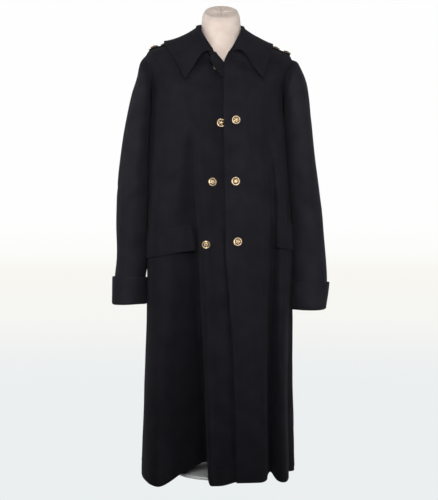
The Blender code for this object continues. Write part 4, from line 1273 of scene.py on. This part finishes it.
def gilt_brass():
    made, tree, shader = new_material("gilt_brass_look")
    worn, grain = noise(tree, 260, 4), noise(tree, 2600, 2)
    metal = ramped(tree, worn, [(0.36, GILT_WORN), (0.52, GILT), (0.7, GILT_BRIGHT)])
    # The hollows of the motifs are darkened: patina and painted shade
    patina_and_shade = ramped(tree, attribute(tree, "relief"), [(0.1, GILT_PATINA_AND_SHADE), (0.7, (1, 1, 1))])
    colour = multiplied(tree, metal, patina_and_shade)
    dressed(tree, shader, colour, ranged(tree, worn, 0.42, 0.2), [(grain, 0.25, 0.0002)])
    fill(tree, shader, {"Metallic": 1.0})
    return made


def jersey_knit():
    made, tree, shader = new_material("jersey_look")
    wales, slub, stain = noise(tree, 520, 2, (2.4, 2.4, 0.5)), noise(tree, 1100, 2), noise(tree, 34, 3)
    colour = mottled(tree, stain, JERSEY_DARK, JERSEY_LIGHT)
    dressed(tree, shader, colour, ranged(tree, slub, 0.82, 0.96), [(wales, 0.4, 0.0010), (slub, 0.3, 0.0005)])
    fill(tree, shader, {"Specular IOR Level": 0.25, "Sheen Weight": 0.15})
    return made


def white_lacquer():
    made, tree, shader = new_material("white_lacquer_look")
    cloud, peel = noise(tree, 16, 3), noise(tree, 240, 2)
    colour = mottled(tree, cloud, LACQUER_DARK, LACQUER_LIGHT)
    dressed(tree, shader, colour, ranged(tree, cloud, 0.28, 0.42), [(peel, 0.08, 0.0006)])
    return made


def linear(colour):
    """A screen colour of 0 to 255 as light."""
    share = np.array(colour) / 255
    light = np.where(share <= 0.04045, share / 12.92, ((share + 0.055) / 1.055) ** 2.4)
    return tuple(float(value) for value in light)


def sweep_profile():
    """Radius, height and way out from the middle along the floor, its bend and the wall."""
    bend = np.linspace(0, np.pi / 2, SWEEP_STEPS)
    flat = [(r, 0.0, r) for r in np.linspace(SWEEP_MIDDLE, SWEEP_FLOOR, SWEEP_STEPS)]
    curve = [(SWEEP_FLOOR + SWEEP_BEND * np.sin(a), SWEEP_BEND * (1 - np.cos(a)),
              SWEEP_FLOOR + SWEEP_BEND * a) for a in bend[1:]]
    wall = [(SWEEP_FLOOR + SWEEP_BEND, SWEEP_BEND + h, curve[-1][2] + h) for h in np.linspace(*SWEEP_WALL)]
    return np.array(flat + curve + wall)


def backdrop():
    """A pale floor that runs up into a white wall all round."""
    profile = sweep_profile()
    points = lathe_points(profile[:, :2], ROUND_SIDES)
    points[..., 2] -= SWEEP_DROP
    made, tree, _ = new_material("backdrop")
    tree.nodes.clear()
    stops = [(row.reach / SWEEP_REACH, linear(row[1:])) for row in SWEEP]
    light = add_node(tree, "Emission", Color=ramped(tree, attribute(tree, "reach"), stops))
    add_node(tree, "OutputMaterial", Surface=light.outputs["Emission"])
    obj = link("backdrop", points, grid_faces(*points.shape[:2], True), made)
    shaded(obj, "reach", np.repeat(profile[:, 2] / SWEEP_REACH, ROUND_SIDES))
    obj.visible_diffuse = False
    obj.visible_shadow = False


def lights():
    for row in LIGHTS:
        data = bpy.data.lights.new(row.name, "AREA")
        data.shape = "RECTANGLE"
        data.size, data.size_y, data.energy = row.wide, row.high, row.power
        data.color, data.spread = row.colour, np.radians(row.spread)
        obj = bpy.data.objects.new(row.name, data)
        obj.location = row.place
        aim = Vector(row.aim) - obj.location
        obj.rotation_mode = "QUATERNION"
        obj.rotation_quaternion = aim.to_track_quat("-Z", "Y")
        obj.visible_camera = False
        bpy.context.scene.collection.objects.link(obj)


def sky():
    world = bpy.data.worlds.new("studio")
    bpy.context.scene.world = world
    world.use_nodes = True
    tree = world.node_tree
    place = add_node(tree, "TexCoord").outputs["Generated"]
    up = add_node(tree, "SeparateXYZ", Vector=place).outputs["Z"]
    half = add_node(tree, "MapRange", Value=up, From_Min=-1).outputs["Result"]
    colours = ramped(tree, half, [(row.height, (row.light,) * 3) for row in SKY])
    fill(tree, tree.nodes["Background"], {"Color": colours, "Strength": SKY_STRENGTH})


def camera():
    data = bpy.data.cameras.new("camera")
    data.lens = CAMERA_LENS
    obj = bpy.data.objects.new("camera", data)
    obj.location = CAMERA_PLACE
    obj.rotation_euler = (np.pi / 2, 0, 0)
    bpy.context.scene.collection.objects.link(obj)
    bpy.context.scene.camera = obj


def cloth_grids():
    """The grids of all cloth pieces, by node."""
    grids = body_panels()
    body = body_side(grids)
    for side, side_turn, girths in (("right", 90, SLEEVE_RIGHT), ("left", 270, SLEEVE_LEFT)):
        grids[f"sleeve_{side}"], grids[f"cuff_{side}"] = sleeve_pieces(side, side_turn, girths, body)
        grids[f"shoulder_strap_{side}"] = strap_grid(side, side_turn)
    grids["collar"] = collar_grid()
    grids["lapel_right"] = lapel_grid()
    for flap in FLAPS:
        grids[f"pocket_flap_{flap.side}"] = flap_grid(flap)
    return grids


def coat_pieces(cloth, cotton):
    """All cloth pieces with their sewing."""
    grids, pieces, sewn = cloth_grids(), {}, {}
    for node, grid in grids.items():
        closed = "sleeve" in node or "cuff" in node
        thickness = COLLAR_CLOTH if node == "collar" else CLOTH
        # Sleeves and cuffs take the wool copies made lighter with painted light
        finish = cloth[node.split("_")[0]] if closed else cloth["panel"]
        pieces[node] = cloth_piece(node, grid, finish, thickness, closed)
    for node, sides in SEWN.items():
        lines = [inset_line(grids[node], side, distance) for side, distance in sides.items()]
        sewn[node] = [sewing(node, lines, cotton)]


def main():
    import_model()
    # One copy of the wool for each kind of piece, the sleeves' and cuffs' made lighter with painted light
    cloth = {kind: wool(f"wool_melton_{kind}", tone) for kind, tone in PAINTED_LIGHT_TONE.items()}
    cotton, gilt = thread(), gilt_brass()
    coat_pieces(cloth, cotton)
    buttons(gilt)
    studs(gilt)
    form(jersey_knit(), white_lacquer())
    backdrop()
    lights()
    sky()
    camera()
    view = bpy.context.scene.view_settings
    view.view_transform = "Standard"
    view.look = "None"


main()
